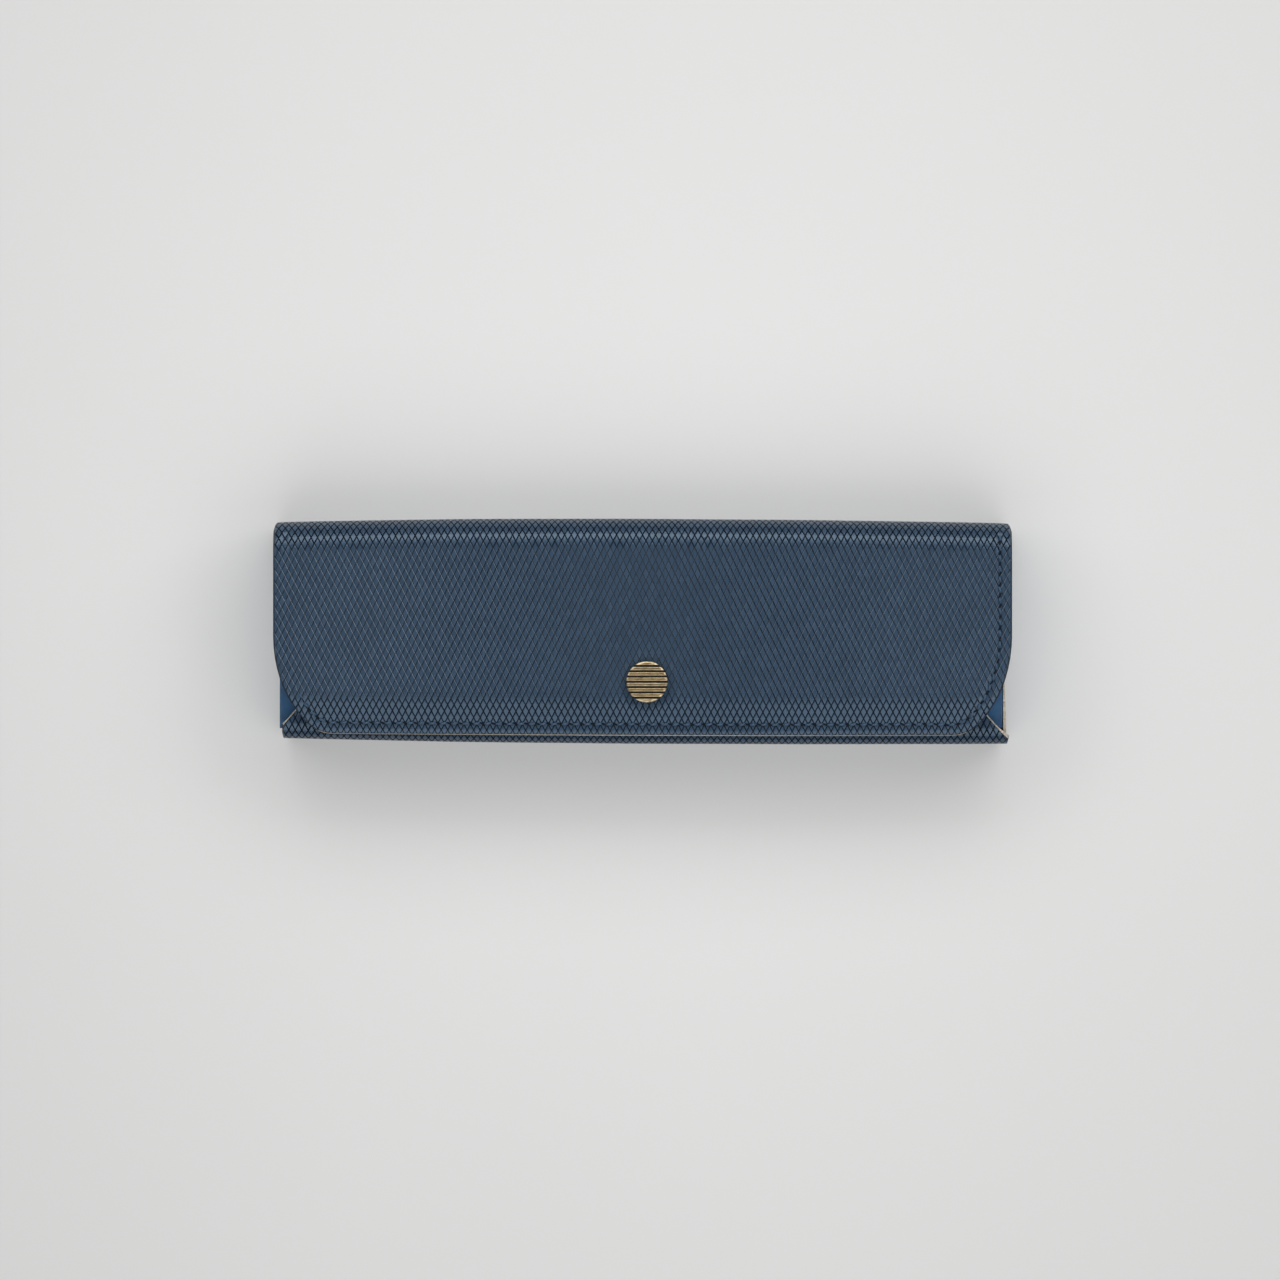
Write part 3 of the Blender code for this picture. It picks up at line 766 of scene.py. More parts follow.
panel_reach = panel_high.y - front_y - FRONT_RADIUS
front_legs = [
    (-FLOOR_SEAM - front_y - BASE_RADIUS, 0),
    (quarter * BASE_RADIUS, BASE_RADIUS),
    (panel_top - FRONT_RADIUS - BASE_RADIUS, 0),
    (quarter * FRONT_RADIUS, FRONT_RADIUS),
    (panel_reach, 0),
]
front_line = bent_line(-FLOOR_SEAM, front_legs, facing=-1)
front_end = sum(length for length, radius in front_legs)
front_fold = sum(length for length, radius in front_legs[:3])
left_start, left_end = front_fold + LEFT_MITRE[0], front_fold + sum(LEFT_MITRE)
right_start, right_end = front_fold + RIGHT_MITRE[0], front_fold + sum(RIGHT_MITRE)
front_wall = [
    (-LEFT_FOOT_HALF, 0), (RIGHT_FOOT_HALF, 0), (FRONT_RIGHT_HALF, right_start), (PANEL_HALF, right_end),
    (-PANEL_HALF, left_end), (-FRONT_LEFT_HALF, left_start),
]
rounded = []
for step in range(PANEL_CORNER_STEPS + 1):
    angle = quarter * step / PANEL_CORNER_STEPS
    x = PANEL_HALF - PANEL_CORNER * (1 - math.cos(angle))
    rounded.append((x, front_end - PANEL_CORNER * (1 - math.sin(angle))))
panel_outline = [(-PANEL_HALF, left_end), (PANEL_HALF, right_end)] + rounded
panel_outline += [(-x, run) for x, run in reversed(rounded)]


def front_pressed(x, run):
    """The pattern stands up more along the fold of the front."""
    fold_end = front_fold + quarter * FRONT_RADIUS
    folded = eased((run - front_fold) / FRONT_FOLD_EASE) * eased((fold_end - run) / FRONT_FOLD_EASE)
    return 1 + (FOLD_RELIEF - 1) * folded, 0.0


def front_rawness(x, run):
    """The panel's edges are left raw from its mitres on."""
    return float(run > (left_start if x < 0 else right_start))


front_hide = hide("front_and_panel", [front_wall, panel_outline], front_line, front_pressed, flip=False,
                  rawness=front_rawness)
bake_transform(front_hide)
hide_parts("body_wrap", "panel_leather")

# The lining. Blue suede covers the inside of every sheet, over the stiffening boards, and is drawn up to the
# leather outside their edges, where it is glued and stitched.
LINING = 0.0007
BOARD_LEVEL = 0.00225
GLUE_LINE = 0.00005
LINING_SHY = 0.00025
DRAWN_FROM = 0.0012
DRAWN_TO = 0.0028
LINING_STEP = 0.0012
SOCKET_HOLE = 0.00445
SOCKET_HOLE_SIDES = 64
PUNCH_DEPTH = 0.004
FLOOR_ROWS = 12
BODY_LINING_HALF = 0.08335
MARGIN_STEPS = (0, 0.0006, 0.0012, 0.0016, 0.0020, 0.0024, 0.0028, 0.0046, 0.0070)
MIDDLE_COLUMNS = 28
SUEDE_BLUE = (0.060, 0.092, 0.142, 1)
SUEDE_DARK = (0.036, 0.058, 0.094, 1)
SUEDE_NAP = 5200.0
SUEDE_GRAIN = 1800.0
NAP_SHARE = 0.6

suede, tree, shader = material("lining_suede", Roughness=0.95, Specular_IOR_Level=0.2, Sheen_Weight=0.35,
                               Sheen_Roughness=0.4)
flat = flat_place(tree)
nap = node(tree, "ShaderNodeTexNoise", {"Vector": flat, "Scale": SUEDE_NAP, "Detail": 5.0, "Roughness": 0.7})
skin = node(tree, "ShaderNodeGroup", {"Vector": flat, "Scale": SUEDE_GRAIN}, node_tree=grain)
fine = sums(tree, "MULTIPLY", nap.outputs[0], NAP_SHARE)
brushed = sums(tree, "ADD", fine, sums(tree, "MULTIPLY", skin.outputs["Cloud"], 1 - NAP_SHARE))
tree.links.new(blended(tree, ranged(tree, brushed, 0.25, 0.75), SUEDE_DARK, SUEDE_BLUE),
               shader.inputs["Base Color"])
bumped(tree, shader, nap.outputs[0], 0.6, 0.00006)


def closed_sheet(name, outer, inner, flat, finish):
    """A closed sheet between two grids of points, rows by columns. Its four edges are marked as cut."""
    rows, columns = outer.shape[:2]
    count = rows * columns
    index = np.arange(count).reshape(rows, columns)
    faces, cuts = [], []
    for row in range(rows - 1):
        for column in range(columns - 1):
            here, below = index[row], index[row + 1]
            ring = [here[column], here[column + 1], below[column + 1], below[column]]
            faces.append(ring)
            faces.append([corner + count for corner in reversed(ring)])
            cuts += [0.0, 0.0]
    border = list(index[0]) + list(index[1:, -1]) + list(index[-1, -2::-1]) + list(index[-2:0:-1, 0])
    for here, after in zip(border, border[1:] + border[:1]):
        faces.append([after, here, here + count, after + count])
        cuts.append(1.0)
    mesh = bpy.data.meshes.new(name)
    points = np.concatenate((outer.reshape(-1, 3), inner.reshape(-1, 3)))
    mesh.from_pydata(points.tolist(), [], [[int(corner) for corner in face] for face in faces])
    mesh.attributes.new("cut", "FLOAT", "FACE").data.foreach_set("value", cuts)
    spread_out(mesh, np.concatenate((flat.reshape(-1, 2), flat.reshape(-1, 2))))
    work = bmesh.new()
    work.from_mesh(mesh)
    bmesh.ops.recalc_face_normals(work, faces=work.faces)
    work.to_mesh(mesh)
    work.free()
    mesh.materials.append(finish)
    return finished(name, mesh)


def columns_across(low, high):
    """Places across a sheet, close together near its edges, where the lining is drawn up."""
    left = [low + step for step in MARGIN_STEPS]
    right = [high - step for step in reversed(MARGIN_STEPS)]
    middle = np.linspace(left[-1], right[0], MIDDLE_COLUMNS + 2)[1:-1]
    return np.concatenate((left, middle, right))


def lined(name, place, runs, edges, free_end, finish, on_flap=False):
    """The lining under a line of the case, between its edges at each distance along it."""
    x = np.array([columns_across(*edges(run)) for run in runs])
    run = np.repeat(np.asarray(runs)[:, None], x.shape[1], axis=1)
    margin = np.minimum(x - x[:, :1], x[:, -1:] - x)
    if free_end:
        margin = np.minimum(margin, runs[-1] - run)
    share = eased((margin - DRAWN_FROM) / (DRAWN_TO - DRAWN_FROM))
    level = LEATHER + GLUE_LINE + share * (BOARD_LEVEL - LEATHER - GLUE_LINE)
    level = level - waved(x, run) * (run > flap_legs[0][0])
    y, z, into_y, into_z = place(run)
    faces = []
    for depth in (level, level + LINING):
        points = np.column_stack([part.ravel() for part in (x, y + into_y * depth, z + into_z * depth)])
        faces.append(settled(points, on_flap).reshape(*x.shape, 3))
    return closed_sheet(name, *faces, np.stack((x, run), axis=-1), finish)


flap_side = np.array([(case_half, 0)] + flap_corner)


def flap_lining_edges(run):
    """The lining keeps inside the end panels, and widens to the flap's own edge over the spine's fold."""
    half = np.interp(run, flap_side[:, 1], flap_side[:, 0]) - LINING_SHY
    widening = eased((run - spine_start) / (spine_end - spine_start))
    half = min(half, BODY_LINING_HALF + widening * (case_half - BODY_LINING_HALF))
    return -half, half


along_flap = list(np.arange(0, flap_corner[0][1], LINING_STEP))
along_flap += [run for x, run in flap_corner[1:-1]] + [flap_end - LINING_SHY]
flap_lining = lined("flap_and_spine_lining", flap_line, along_flap, flap_lining_edges, True, suede,
                    on_flap=True)

# The round hole in it, for the press stud's socket.
socket_low, socket_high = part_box("snap_socket")
hole = bmesh.new()
bmesh.ops.create_cone(hole, cap_ends=True, segments=SOCKET_HOLE_SIDES, radius1=SOCKET_HOLE,
                      radius2=SOCKET_HOLE, depth=PUNCH_DEPTH)
bmesh.ops.translate(hole, verts=hole.verts, vec=(socket_low + socket_high) / 2)
punch_mesh = mesh_of("punch", hole)
punch_mesh.materials.append(suede)
punch = bpy.data.objects.new("punch", punch_mesh)
bpy.context.collection.objects.link(punch)
cutter = flap_lining.modifiers.new("cut", "BOOLEAN")
cutter.operation = "DIFFERENCE"
cutter.object = punch
graph = bpy.context.evaluated_depsgraph_get()
flap_lining.data = bpy.data.meshes.new_from_object(flap_lining.evaluated_get(graph),
                                                   preserve_all_data_layers=True, depsgraph=graph)
flap_lining.modifiers.clear()
bpy.data.objects.remove(punch)
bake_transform(flap_lining)
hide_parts("case_lining", "flap_lining")

along_floor = np.linspace(0, 2 * FLOOR_SEAM, FLOOR_ROWS)
floor_lining = lined("floor_lining", floor_line, along_floor,
                     lambda run: (-BODY_LINING_HALF, BODY_LINING_HALF), False, suede)
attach(floor_lining, "case")
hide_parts("case_lining")

right_side = [(RIGHT_FOOT_HALF, 0), (FRONT_RIGHT_HALF, right_start), (PANEL_HALF, right_end)]
left_side = [(LEFT_FOOT_HALF, 0), (FRONT_LEFT_HALF, left_start), (PANEL_HALF, left_end)]
right_side, left_side = np.array(right_side + rounded), np.array(left_side + rounded)


def front_lining_edges(run):
    """The lining keeps inside the end panels, and follows the mitres and the panel's edge."""
    ends = []
    for side in (left_side, right_side):
        half = np.interp(run, side[:, 1], side[:, 0]) - LINING_SHY
        ends.append(min(half, BODY_LINING_HALF))
    return -ends[0], ends[1]


along_front = list(np.arange(0, rounded[0][1], LINING_STEP))
along_front += [run for x, run in rounded[1:-1]] + [front_end - LINING_SHY]
front_lining = lined("front_and_panel_lining", front_line, along_front, front_lining_edges, True, suede)
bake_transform(front_lining)
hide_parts("case_lining", "panel_lining")

# The stiffening boards between leather and lining. They are cut from sheet pressed out of leather fibre, and
# glued on both sides.
BOARD_BROWN = (0.250, 0.170, 0.100, 1)
BOARD_DARK = (0.130, 0.085, 0.050, 1)

leatherboard, tree, shader = material("leatherboard", Roughness=0.85, Specular_IOR_Level=0.3)
place = node(tree, "ShaderNodeTexCoord").outputs["Object"]
fibre = node(tree, "ShaderNodeTexNoise", {"Vector": place, "Scale": 1500.0, "Detail": 8.0, "Roughness": 0.7})
tree.links.new(blended(tree, ranged(tree, fibre.outputs[0], 0.35, 0.65), BOARD_DARK, BOARD_BROWN),
               shader.inputs["Base Color"])
for name in ("spine_board", "floor_board", "front_board", "flap_board", "panel_board"):
    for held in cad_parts[name].material_slots:
        held.material = leatherboard

# The two ends. Each is closed by a panel of smooth blue calf, and inside it by a gusset, whose top is turned
# in as a wing over the pens. The right panel's top edge is left raw and stands ragged beside its wing.
END_PANEL = 0.0007
END_PANEL_SKIVED_SHARE = 0.75
END_RAGGED_SHARES = (-0.35, 0.55)
END_THICK_FROM = -0.010
END_SWELL = 0.0002
END_GRID = (26, 60)
END_INNER = 0.0834
END_BOTTOM = LEATHER + GLUE_LINE
END_CORNER = 0.0027
GUSSET = 0.0010
GUSSET_BEND = 0.0005
WING_WRAP = 0.0011
WRAP_REACH = 0.0012
WING_EDGE = 0.0003
GUSSET_FOOT = LEATHER + GLUE_LINE + LINING
WING_REACH = 0.016
WING_CORNER = 0.004
WING_CORNER_SHARE = 0.95
WING_SAG = 0.0004
WING_STEPS = 22
WING_COLUMNS = 30
GUSSET_STEPS = 20
BEND_DARK_WIDTH = 0.0012
RAW_RISE = 0.0002
RAW_RISE_FROM = -0.012
RAW_EASE = 0.012
RAW_RAG = 0.00020
RAG_WAVES = (5200, 1900)
CREASE_START = -0.0218
CREASE_WIDTH = 0.0003
CREASE_DEPTH = 0.0015
CALF_BLUE = (0.036, 0.112, 0.235, 1)
CALF_DARK = (0.032, 0.100, 0.210, 1)
CALF_EDGE_DARK = (0.035, 0.080, 0.150, 1)
CALF_GRAIN = 3200.0
CALF_BEND_PATCHES = 900.0

# A colour laid in patches along a mask: the brass's bright worn edges, and the calf's darker bends.
edge_patches, came, goes = group(
    "edge patches", "ShaderNodeTree",
    [("Colour", "Color"), ("Edge colour", "Color"), ("Mask", "Float"), ("Vector", "Vector"), ("Scale", "Float")],
    [("Colour", "Color")],
)
patches = node(edge_patches, "ShaderNodeTexNoise", {"Vector": came["Vector"], "Scale": came["Scale"], "Detail": 6.0})
rubbed = sums(edge_patches, "MULTIPLY", came["Mask"], ranged(edge_patches, patches.outputs[0], 0.35, 0.6))
edge_patches.links.new(blended(edge_patches, rubbed, came["Colour"], came["Edge colour"]), goes["Colour"])


def smooth_calf(name, dyed_edge):
    """Smooth calf, whose cut edges are coloured dark blue or left raw, and which is darker in patches where
    its edge mark lies.
    """
    made, tree, shader = material(name, Specular_IOR_Level=0.25)
    flat, cut, edge = flat_place(tree), mark(tree, "cut"), mark(tree, "edge")
    skin = node(tree, "ShaderNodeGroup", {"Vector": flat, "Scale": CALF_GRAIN}, node_tree=grain)
    blue = blended(tree, skin.outputs["Cloud"], CALF_DARK, CALF_BLUE)
    worn = node(tree, "ShaderNodeGroup", {"Colour": blue, "Edge colour": CALF_EDGE_DARK, "Mask": edge, "Vector": flat,
                                          "Scale": CALF_BEND_PATCHES}, node_tree=edge_patches)
    cream, tan = (CALF_EDGE_DARK, CALF_DARK) if dyed_edge else (CUT_CREAM, CUT_TAN)
    raw = node(tree, "ShaderNodeGroup", {"Vector": flat, "Cream": cream, "Tan": tan}, node_tree=raw_cut)
    colour = blended(tree, cut, worn.outputs["Colour"], raw.outputs["Colour"])
    tree.links.new(colour, shader.inputs["Base Color"])
    gloss = ranged(tree, skin.outputs["Cloud"], 0, 1, 0.42, 0.50)
    tree.links.new(ranged(tree, cut, 0, 1, gloss, 0.9), shader.inputs["Roughness"])
    bumped(tree, shader, skin.outputs["Height"], 0.3, 0.00002)
    return made


dyed_calf = smooth_calf("smooth_leather", True)
raw_calf = smooth_calf("smooth_leather_raw_edge", False)
gusset_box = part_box("left_gusset")
wing_top = gusset_box[1].z
wing_front, wing_back = gusset_box[0].y, gusset_box[1].y
inner_front, inner_back = front_y + LEATHER + GLUE_LINE, spine_y - LEATHER - GLUE_LINE


def end_panel(name, side, finish, ragged):
    """The outer panel of an end, standing between the front's leather and the spine's."""
    rows, columns = END_GRID
    levels = np.linspace(0, 1, rows)
    z = END_BOTTOM + (wing_top + RAW_RISE / 2 - (1 - ragged) * WING_WRAP - END_BOTTOM) * levels
    drop = np.clip((END_CORNER - (z - END_BOTTOM)) / END_CORNER, 0, 1)
    inset = END_CORNER * (1 - np.sqrt(1 - drop ** 2))
    across = np.linspace(0, 1, columns)
    front, back = inner_front + inset, inner_back - inset
    y = front[:, None] + (back - front)[:, None] * across[None, :]
    height = np.repeat(z[:, None], len(across), axis=1)
    short, long = RAG_WAVES
    rag = np.sin(y * short) * np.sin(y * long + 1) * RAW_RAG
    rag = ragged * (rag + RAW_RISE * eased((RAW_RISE_FROM - y) / RAW_EASE))
    height[-1] += rag[-1]
    swell = END_SWELL * np.sin(math.pi * across)[None, :] * np.sin(math.pi * levels)[:, None]
    behind, before = END_RAGGED_SHARES
    thick = before * eased((END_THICK_FROM - y) / RAW_EASE) + behind
    thick = END_PANEL * (END_PANEL_SKIVED_SHARE + ragged * thick)
    inner = END_INNER - CREASE_DEPTH * (1 - ragged) * eased((CREASE_START - y) / CREASE_WIDTH)
    faces = []
    for x in (inner + thick + swell, inner):
        points = np.column_stack([part.ravel() for part in (side * x, y, height)])
        faces.append(settled(points).reshape(*y.shape, 3))
    return closed_sheet(name, *faces, np.stack((y, height), axis=-1), finish)


def gusset(name, side, finish, ragged):
    """An end wall with its top turned in as a wing, which sags a little and has rounded corners.

    Where the end panel's edge isn't left raw, the wing covers it.
    """
    wall = wing_top - GUSSET_BEND - GUSSET_FOOT
    bend = quarter * GUSSET_BEND
    reach = WING_REACH - GUSSET_BEND
    wing = 1 - (1 - np.linspace(0, 1, WING_STEPS)[1:]) ** 1.5
    runs = np.concatenate((np.linspace(0, wall, GUSSET_STEPS), wall + bend * np.linspace(0.2, 1, 5),
                           wall + bend + reach * wing))
    turned = np.clip((runs - wall) / GUSSET_BEND, 0, quarter)
    inwards = np.clip(runs - wall - bend, 0, None)
    x = END_INNER - GUSSET_BEND * (1 - np.cos(turned)) - inwards
    z = GUSSET_FOOT + np.minimum(runs, wall) + GUSSET_BEND * np.sin(turned)
    z = z - WING_SAG * (inwards / reach) ** 2
    wrap = eased((z - wing_top + WING_WRAP) / (WING_WRAP / 2)) * (inwards < WRAP_REACH)
    wrap = np.where(inwards > 0, 1 - np.clip(inwards / WRAP_REACH, 0, 1), wrap)
    x = x + (1 - ragged) * END_PANEL_SKIVED_SHARE * END_PANEL * wrap
    into_x, into_z = -np.cos(turned), -np.sin(turned)
    left = np.clip((WING_CORNER - (reach - inwards)) / WING_CORNER, 0, 1)
    inset = WING_CORNER * (1 - np.sqrt(1 - left ** 2))
    inset = np.minimum(inset, WING_CORNER * WING_CORNER_SHARE)
    across = np.linspace(0, 1, WING_COLUMNS)
    front, back = wing_front - WING_EDGE + inset, wing_back - inset
    y = front[:, None] + (back - front)[:, None] * across[None, :]
    faces = []
    for depth in (0, GUSSET):
        wall_x = np.broadcast_to((side * (x + into_x * depth))[:, None], y.shape)
        wall_z = np.broadcast_to((z + into_z * depth)[:, None], y.shape)
        faces.append(np.stack((wall_x, y, wall_z), axis=-1))
    along = np.broadcast_to(runs[:, None], y.shape)
    made = closed_sheet(name, *faces, np.stack((y, along), axis=-1), finish)
    # The bend at the wing's top is coloured darker in patches.
    edges = np.exp(-((along - wall - bend / 2) / BEND_DARK_WIDTH) ** 2).ravel()
    marks = made.data.attributes.new("edge", "FLOAT", "POINT")
    marks.data.foreach_set("value", np.concatenate((edges, edges)).astype(np.float32))
    return made


for name, side, finish in (("left", -1, dyed_calf), ("right", 1, raw_calf)):
    panel = end_panel(name + "_end_panel", side, finish, float(side > 0))
    turned_in = gusset(name + "_gusset_and_wing", side, finish, float(side > 0))
    for piece in (panel, turned_in):
        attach(piece, "case")
        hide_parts(name + "_gusset")

# The linings of the ends, and the two dividers between the pens. Each divider is a strip of suede folded
# double and glued, with its two edges opened out as a foot on the lining.
END_LINING_GRID = (14, 30)
END_LINING_BULGE = 0.00008
DIVIDER_WALL = 0.0008
DIVIDER_FOOT_SHARE = 0.75
FOOT_BEND = 0.0006
FOOT_BEVEL = 0.0001
DIVIDER_WAVE = 0.00012
DIVIDER_WAVE_LENGTH = 0.0061
DIVIDER_COLUMNS = 64
DIVIDER_LEVELS = 9
DIVIDER_BEND_STEPS = 6


def end_lining(name, side):
    """A rounded sheet of suede on the inside of a gusset's wall."""
    low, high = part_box(name)
    rows, columns = END_LINING_GRID
    levels, across = np.linspace(0, 1, rows), np.linspace(0, 1, columns)
    z = low.z + (high.z - low.z) * levels
    y = low.y + (high.y - low.y) * across
    y, z = np.meshgrid(y, z)
    outer = END_INNER - GUSSET - GLUE_LINE
    bulge = END_LINING_BULGE * np.sin(math.pi * across)[None, :] * np.sin(math.pi * levels)[:, None]
    faces = [np.stack((side * (outer - depth), y, z), axis=-1) for depth in (bulge, LINING + bulge)]
    return closed_sheet(name + "_suede", *faces, np.stack((y, z), axis=-1), suede)


for name, side in (("left_end_lining", -1), ("right_end_lining", 1)):
    piece = end_lining(name, side)
    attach(piece, "case")
    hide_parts(name)


def divider(name):
    """A folded strip that stands on its opened edges, drawn as the outline of its end."""
    low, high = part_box(name)
    middle = (low.y + high.y) / 2
    half = DIVIDER_WALL
    foot = (high.y - low.y) / 2
    thick = DIVIDER_WALL * DIVIDER_FOOT_SHARE
    right = [(foot, low.z), (foot, low.z + thick * 0.8), (foot - FOOT_BEVEL, low.z + thick)]
    centre_y, centre_z = half + FOOT_BEND, low.z + thick + FOOT_BEND
    bend = [quarter * step / DIVIDER_BEND_STEPS for step in range(DIVIDER_BEND_STEPS + 1)]
    for angle in bend:
        right.append((centre_y - FOOT_BEND * math.sin(angle), centre_z - FOOT_BEND * math.cos(angle)))
    for step in range(DIVIDER_LEVELS):
        right.append((half, centre_z + (high.z - half - centre_z) * (step + 1) / DIVIDER_LEVELS))
    for angle in bend[1:]:
        right.append((half * math.cos(angle), high.z - half + half * math.sin(angle)))
    outline = right[:-1] + [(0, high.z)] + [(-across, up) for across, up in reversed(right[:-1])]
    work = bmesh.new()
    reach = END_INNER - GUSSET - LINING - 2 * GLUE_LINE
    columns = np.linspace(-reach, reach, DIVIDER_COLUMNS)
    rings = []
    for x in columns:
        ring = []
        for across, up in outline:
            lean = DIVIDER_WAVE * math.sin(x / DIVIDER_WAVE_LENGTH) * (up - low.z) / (high.z - low.z)
            ring.append(work.verts.new((x, middle + across + lean, up)))
        rings.append(ring)
    for ring, following in zip(rings, rings[1:]):
        for here in range(len(ring)):
            after = (here + 1) % len(ring)
            work.faces.new((ring[here], ring[after], following[after], following[here]))
    work.faces.new(rings[0])
    work.faces.new(rings[-1])
    bmesh.ops.recalc_face_normals(work, faces=work.faces)
    spread = work.loops.layers.uv.new("flat")
    for face in work.faces:
        for corner in face.loops:
            corner[spread].uv = (corner.vert.co.x, corner.vert.co.z + corner.vert.co.y)
    mesh = mesh_of(name, work)
    mesh.materials.append(suede)
    return finished(name + "_strip", mesh)


for name in ("front_divider", "back_divider"):
    piece = divider(name)
    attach(piece, "case")
    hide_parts(name)

# The stitching. Waxed blue linen thread runs round the flap in slanting slits made by a pricking iron, and
# each stitch sinks into the leather at both its ends. Each slit is a near-black oval in the furrow: painted
# shade in its opening.
STITCH_PITCH = 0.00254
STITCH_LENGTH = 0.00135
STITCH_SLANT = math.radians(12)
STITCH_CROWN = 0.00034
STITCH_SINK = -0.00030
THREAD_RADIUS = 0.00027
SLIT_LENGTH = 0.00130
SLIT_WIDTH = 0.00042
SLIT_SLANT = math.radians(20)
SLIT_TOP = 0.00005
SLIT_DEPTH = 0.0003
SLIT_SIDES = 12
THREAD_SIDES = 8
THREAD_STEPS = 8
FURROW_FLOOR_SHARE = 0.6
LEFT_SUNK = 0.00060
LEFT_SUNK_FROM = -0.0765
LEFT_SUNK_WIDTH = 0.004
THREAD_BLUE = (0.045, 0.095, 0.160, 1)
THREAD_DARK = (0.026, 0.052, 0.092, 1)
SLIT_SHADE_BLACK = (0.004, 0.006, 0.010, 1)
SLIT_SHADE_MOTTLE = (0.014, 0.022, 0.036, 1)

thread, tree, shader = material("sewing_thread", Roughness=0.55, Specular_IOR_Level=0.4)
flat = flat_place(tree)
ply = node(tree, "ShaderNodeTexWave", {"Vector": flat, "Scale": 1150.0, "Distortion": 1.2, "Detail": 2.0},
           bands_direction="DIAGONAL")
tree.links.new(blended(tree, ply.outputs["Fac"], THREAD_DARK, THREAD_BLUE), shader.inputs["Base Color"])
bumped(tree, shader, ply.outputs["Fac"], 0.6, 0.00005)

# The slits' near-black colour with a faint mottle is painted shade.
slit, tree, shader = material("awl_slit_shade", Roughness=0.9, Specular_IOR_Level=0.1)
shade_mottle = node(tree, "ShaderNodeTexNoise", {"Vector": flat_place(tree), "Scale": 3000.0, "Detail": 3.0})
tree.links.new(blended(tree, ranged(tree, shade_mottle.outputs[0], 0.4, 0.8), SLIT_SHADE_BLACK, SLIT_SHADE_MOTTLE),
               shader.inputs["Base Color"])


def along_line(name, make_one):
    """A tree that sets one shape at every pitch along a line, turned to follow it."""
    tree, came, goes = group(
        name, "GeometryNodeTree",
        [("Line", "Geometry"), ("Pitch", "Float"), ("Length", "Float"), ("Radius", "Float"),
         ("Crown", "Float"), ("Sink", "Float"), ("Slant", "Float"), ("Finish", "Material")],
        [("Row", "Geometry")],
    )
    line = node(tree, "GeometryNodeMeshToCurve", {0: came["Line"]}).outputs[0]
    spaced = node(tree, "GeometryNodeResampleCurve", {"Curve": line, "Length": came["Pitch"]}, mode="LENGTH")
    tangent = node(tree, "GeometryNodeInputTangent").outputs[0]
    turned = node(tree, "FunctionNodeAlignRotationToVector", {"Vector": tangent}, axis="X", pivot_axis="Z")
    one = make_one(tree, came)
    row = node(tree, "GeometryNodeInstanceOnPoints", {"Points": spaced.outputs[0], "Instance": one,
                                                      "Rotation": turned.outputs[0]}).outputs[0]
    real = node(tree, "GeometryNodeRealizeInstances", {"Geometry": row}).outputs[0]
    covered = node(tree, "GeometryNodeSetMaterial", {"Geometry": real, "Material": came["Finish"]}).outputs[0]
    tree.links.new(covered, goes["Row"])
    return tree


def thread_arch(tree, came):
    """One stitch: a round thread that arches from slit to slit."""
    half = sums(tree, "MULTIPLY", came["Length"], 0.5)
    back = sums(tree, "MULTIPLY", came["Length"], -0.5)
    start = node(tree, "ShaderNodeCombineXYZ", {"X": back, "Z": came["Sink"]}).outputs[0]
    middle = node(tree, "ShaderNodeCombineXYZ", {"Z": came["Crown"]}).outputs[0]
    end = node(tree, "ShaderNodeCombineXYZ", {"X": half, "Z": came["Sink"]}).outputs[0]
    path = node(tree, "GeometryNodeCurveQuadraticBezier", {"Resolution": THREAD_STEPS, "Start": start,
                                                           "Middle": middle, "End": end}).outputs[0]
    feeds = {"Resolution": THREAD_SIDES, "Radius": came["Radius"]}
    ring = node(tree, "GeometryNodeCurvePrimitiveCircle", feeds)
    arch = node(tree, "GeometryNodeCurveToMesh", {"Curve": path, "Profile Curve": ring.outputs[0],
                                                  "Fill Caps": True}).outputs[0]
    slant = node(tree, "ShaderNodeCombineXYZ", {"Z": came["Slant"]}).outputs[0]
    return node(tree, "GeometryNodeTransform", {"Geometry": arch, "Rotation": slant}).outputs[0]


def slit_oval(tree, came):
    """One slit of the pricking iron, half a pitch on, between two stitches: a dark oval, as painted shade in
    the hole.
    """
    oval = node(tree, "GeometryNodeMeshCylinder", {"Vertices": SLIT_SIDES, "Radius": 0.5, "Depth": 1.0})
    on = sums(tree, "MULTIPLY", came["Pitch"], 0.5)
    shift = node(tree, "ShaderNodeCombineXYZ", {"X": on, "Z": came["Sink"]}).outputs[0]
    slant = node(tree, "ShaderNodeCombineXYZ", {"Z": came["Slant"]}).outputs[0]
    size = node(tree, "ShaderNodeCombineXYZ", {"X": came["Length"], "Y": came["Radius"], "Z": came["Crown"]})
    return node(tree, "GeometryNodeTransform", {"Geometry": oval.outputs["Mesh"], "Translation": shift,
                                                "Rotation": slant, "Scale": size.outputs[0]}).outputs[0]


def stitch_row(name, line, tree, values):
    """A row of stitches or slits along the flap's stitching line, laid on the flap with the leather."""
    mesh = bpy.data.meshes.new(name)
    points = [(x, run, 0) for x, run in line]
    mesh.from_pydata(points, [(here, here + 1) for here in range(len(points) - 1)], [])
    row = laid(name, grown(mesh, tree, values), flap_line, stitch_depth, flip=True, on_flap=True)
    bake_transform(row)
    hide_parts("flap_leather")
    return row


def stitch_depth(x, run, height):
    """The thread lies in its furrow, and along the flap's left edge the hide has closed over it."""
    sunk = LEFT_SUNK * eased((LEFT_SUNK_FROM - x) / LEFT_SUNK_WIDTH)
    return FURROW_DEPTH * FURROW_FLOOR_SHARE + sunk - height


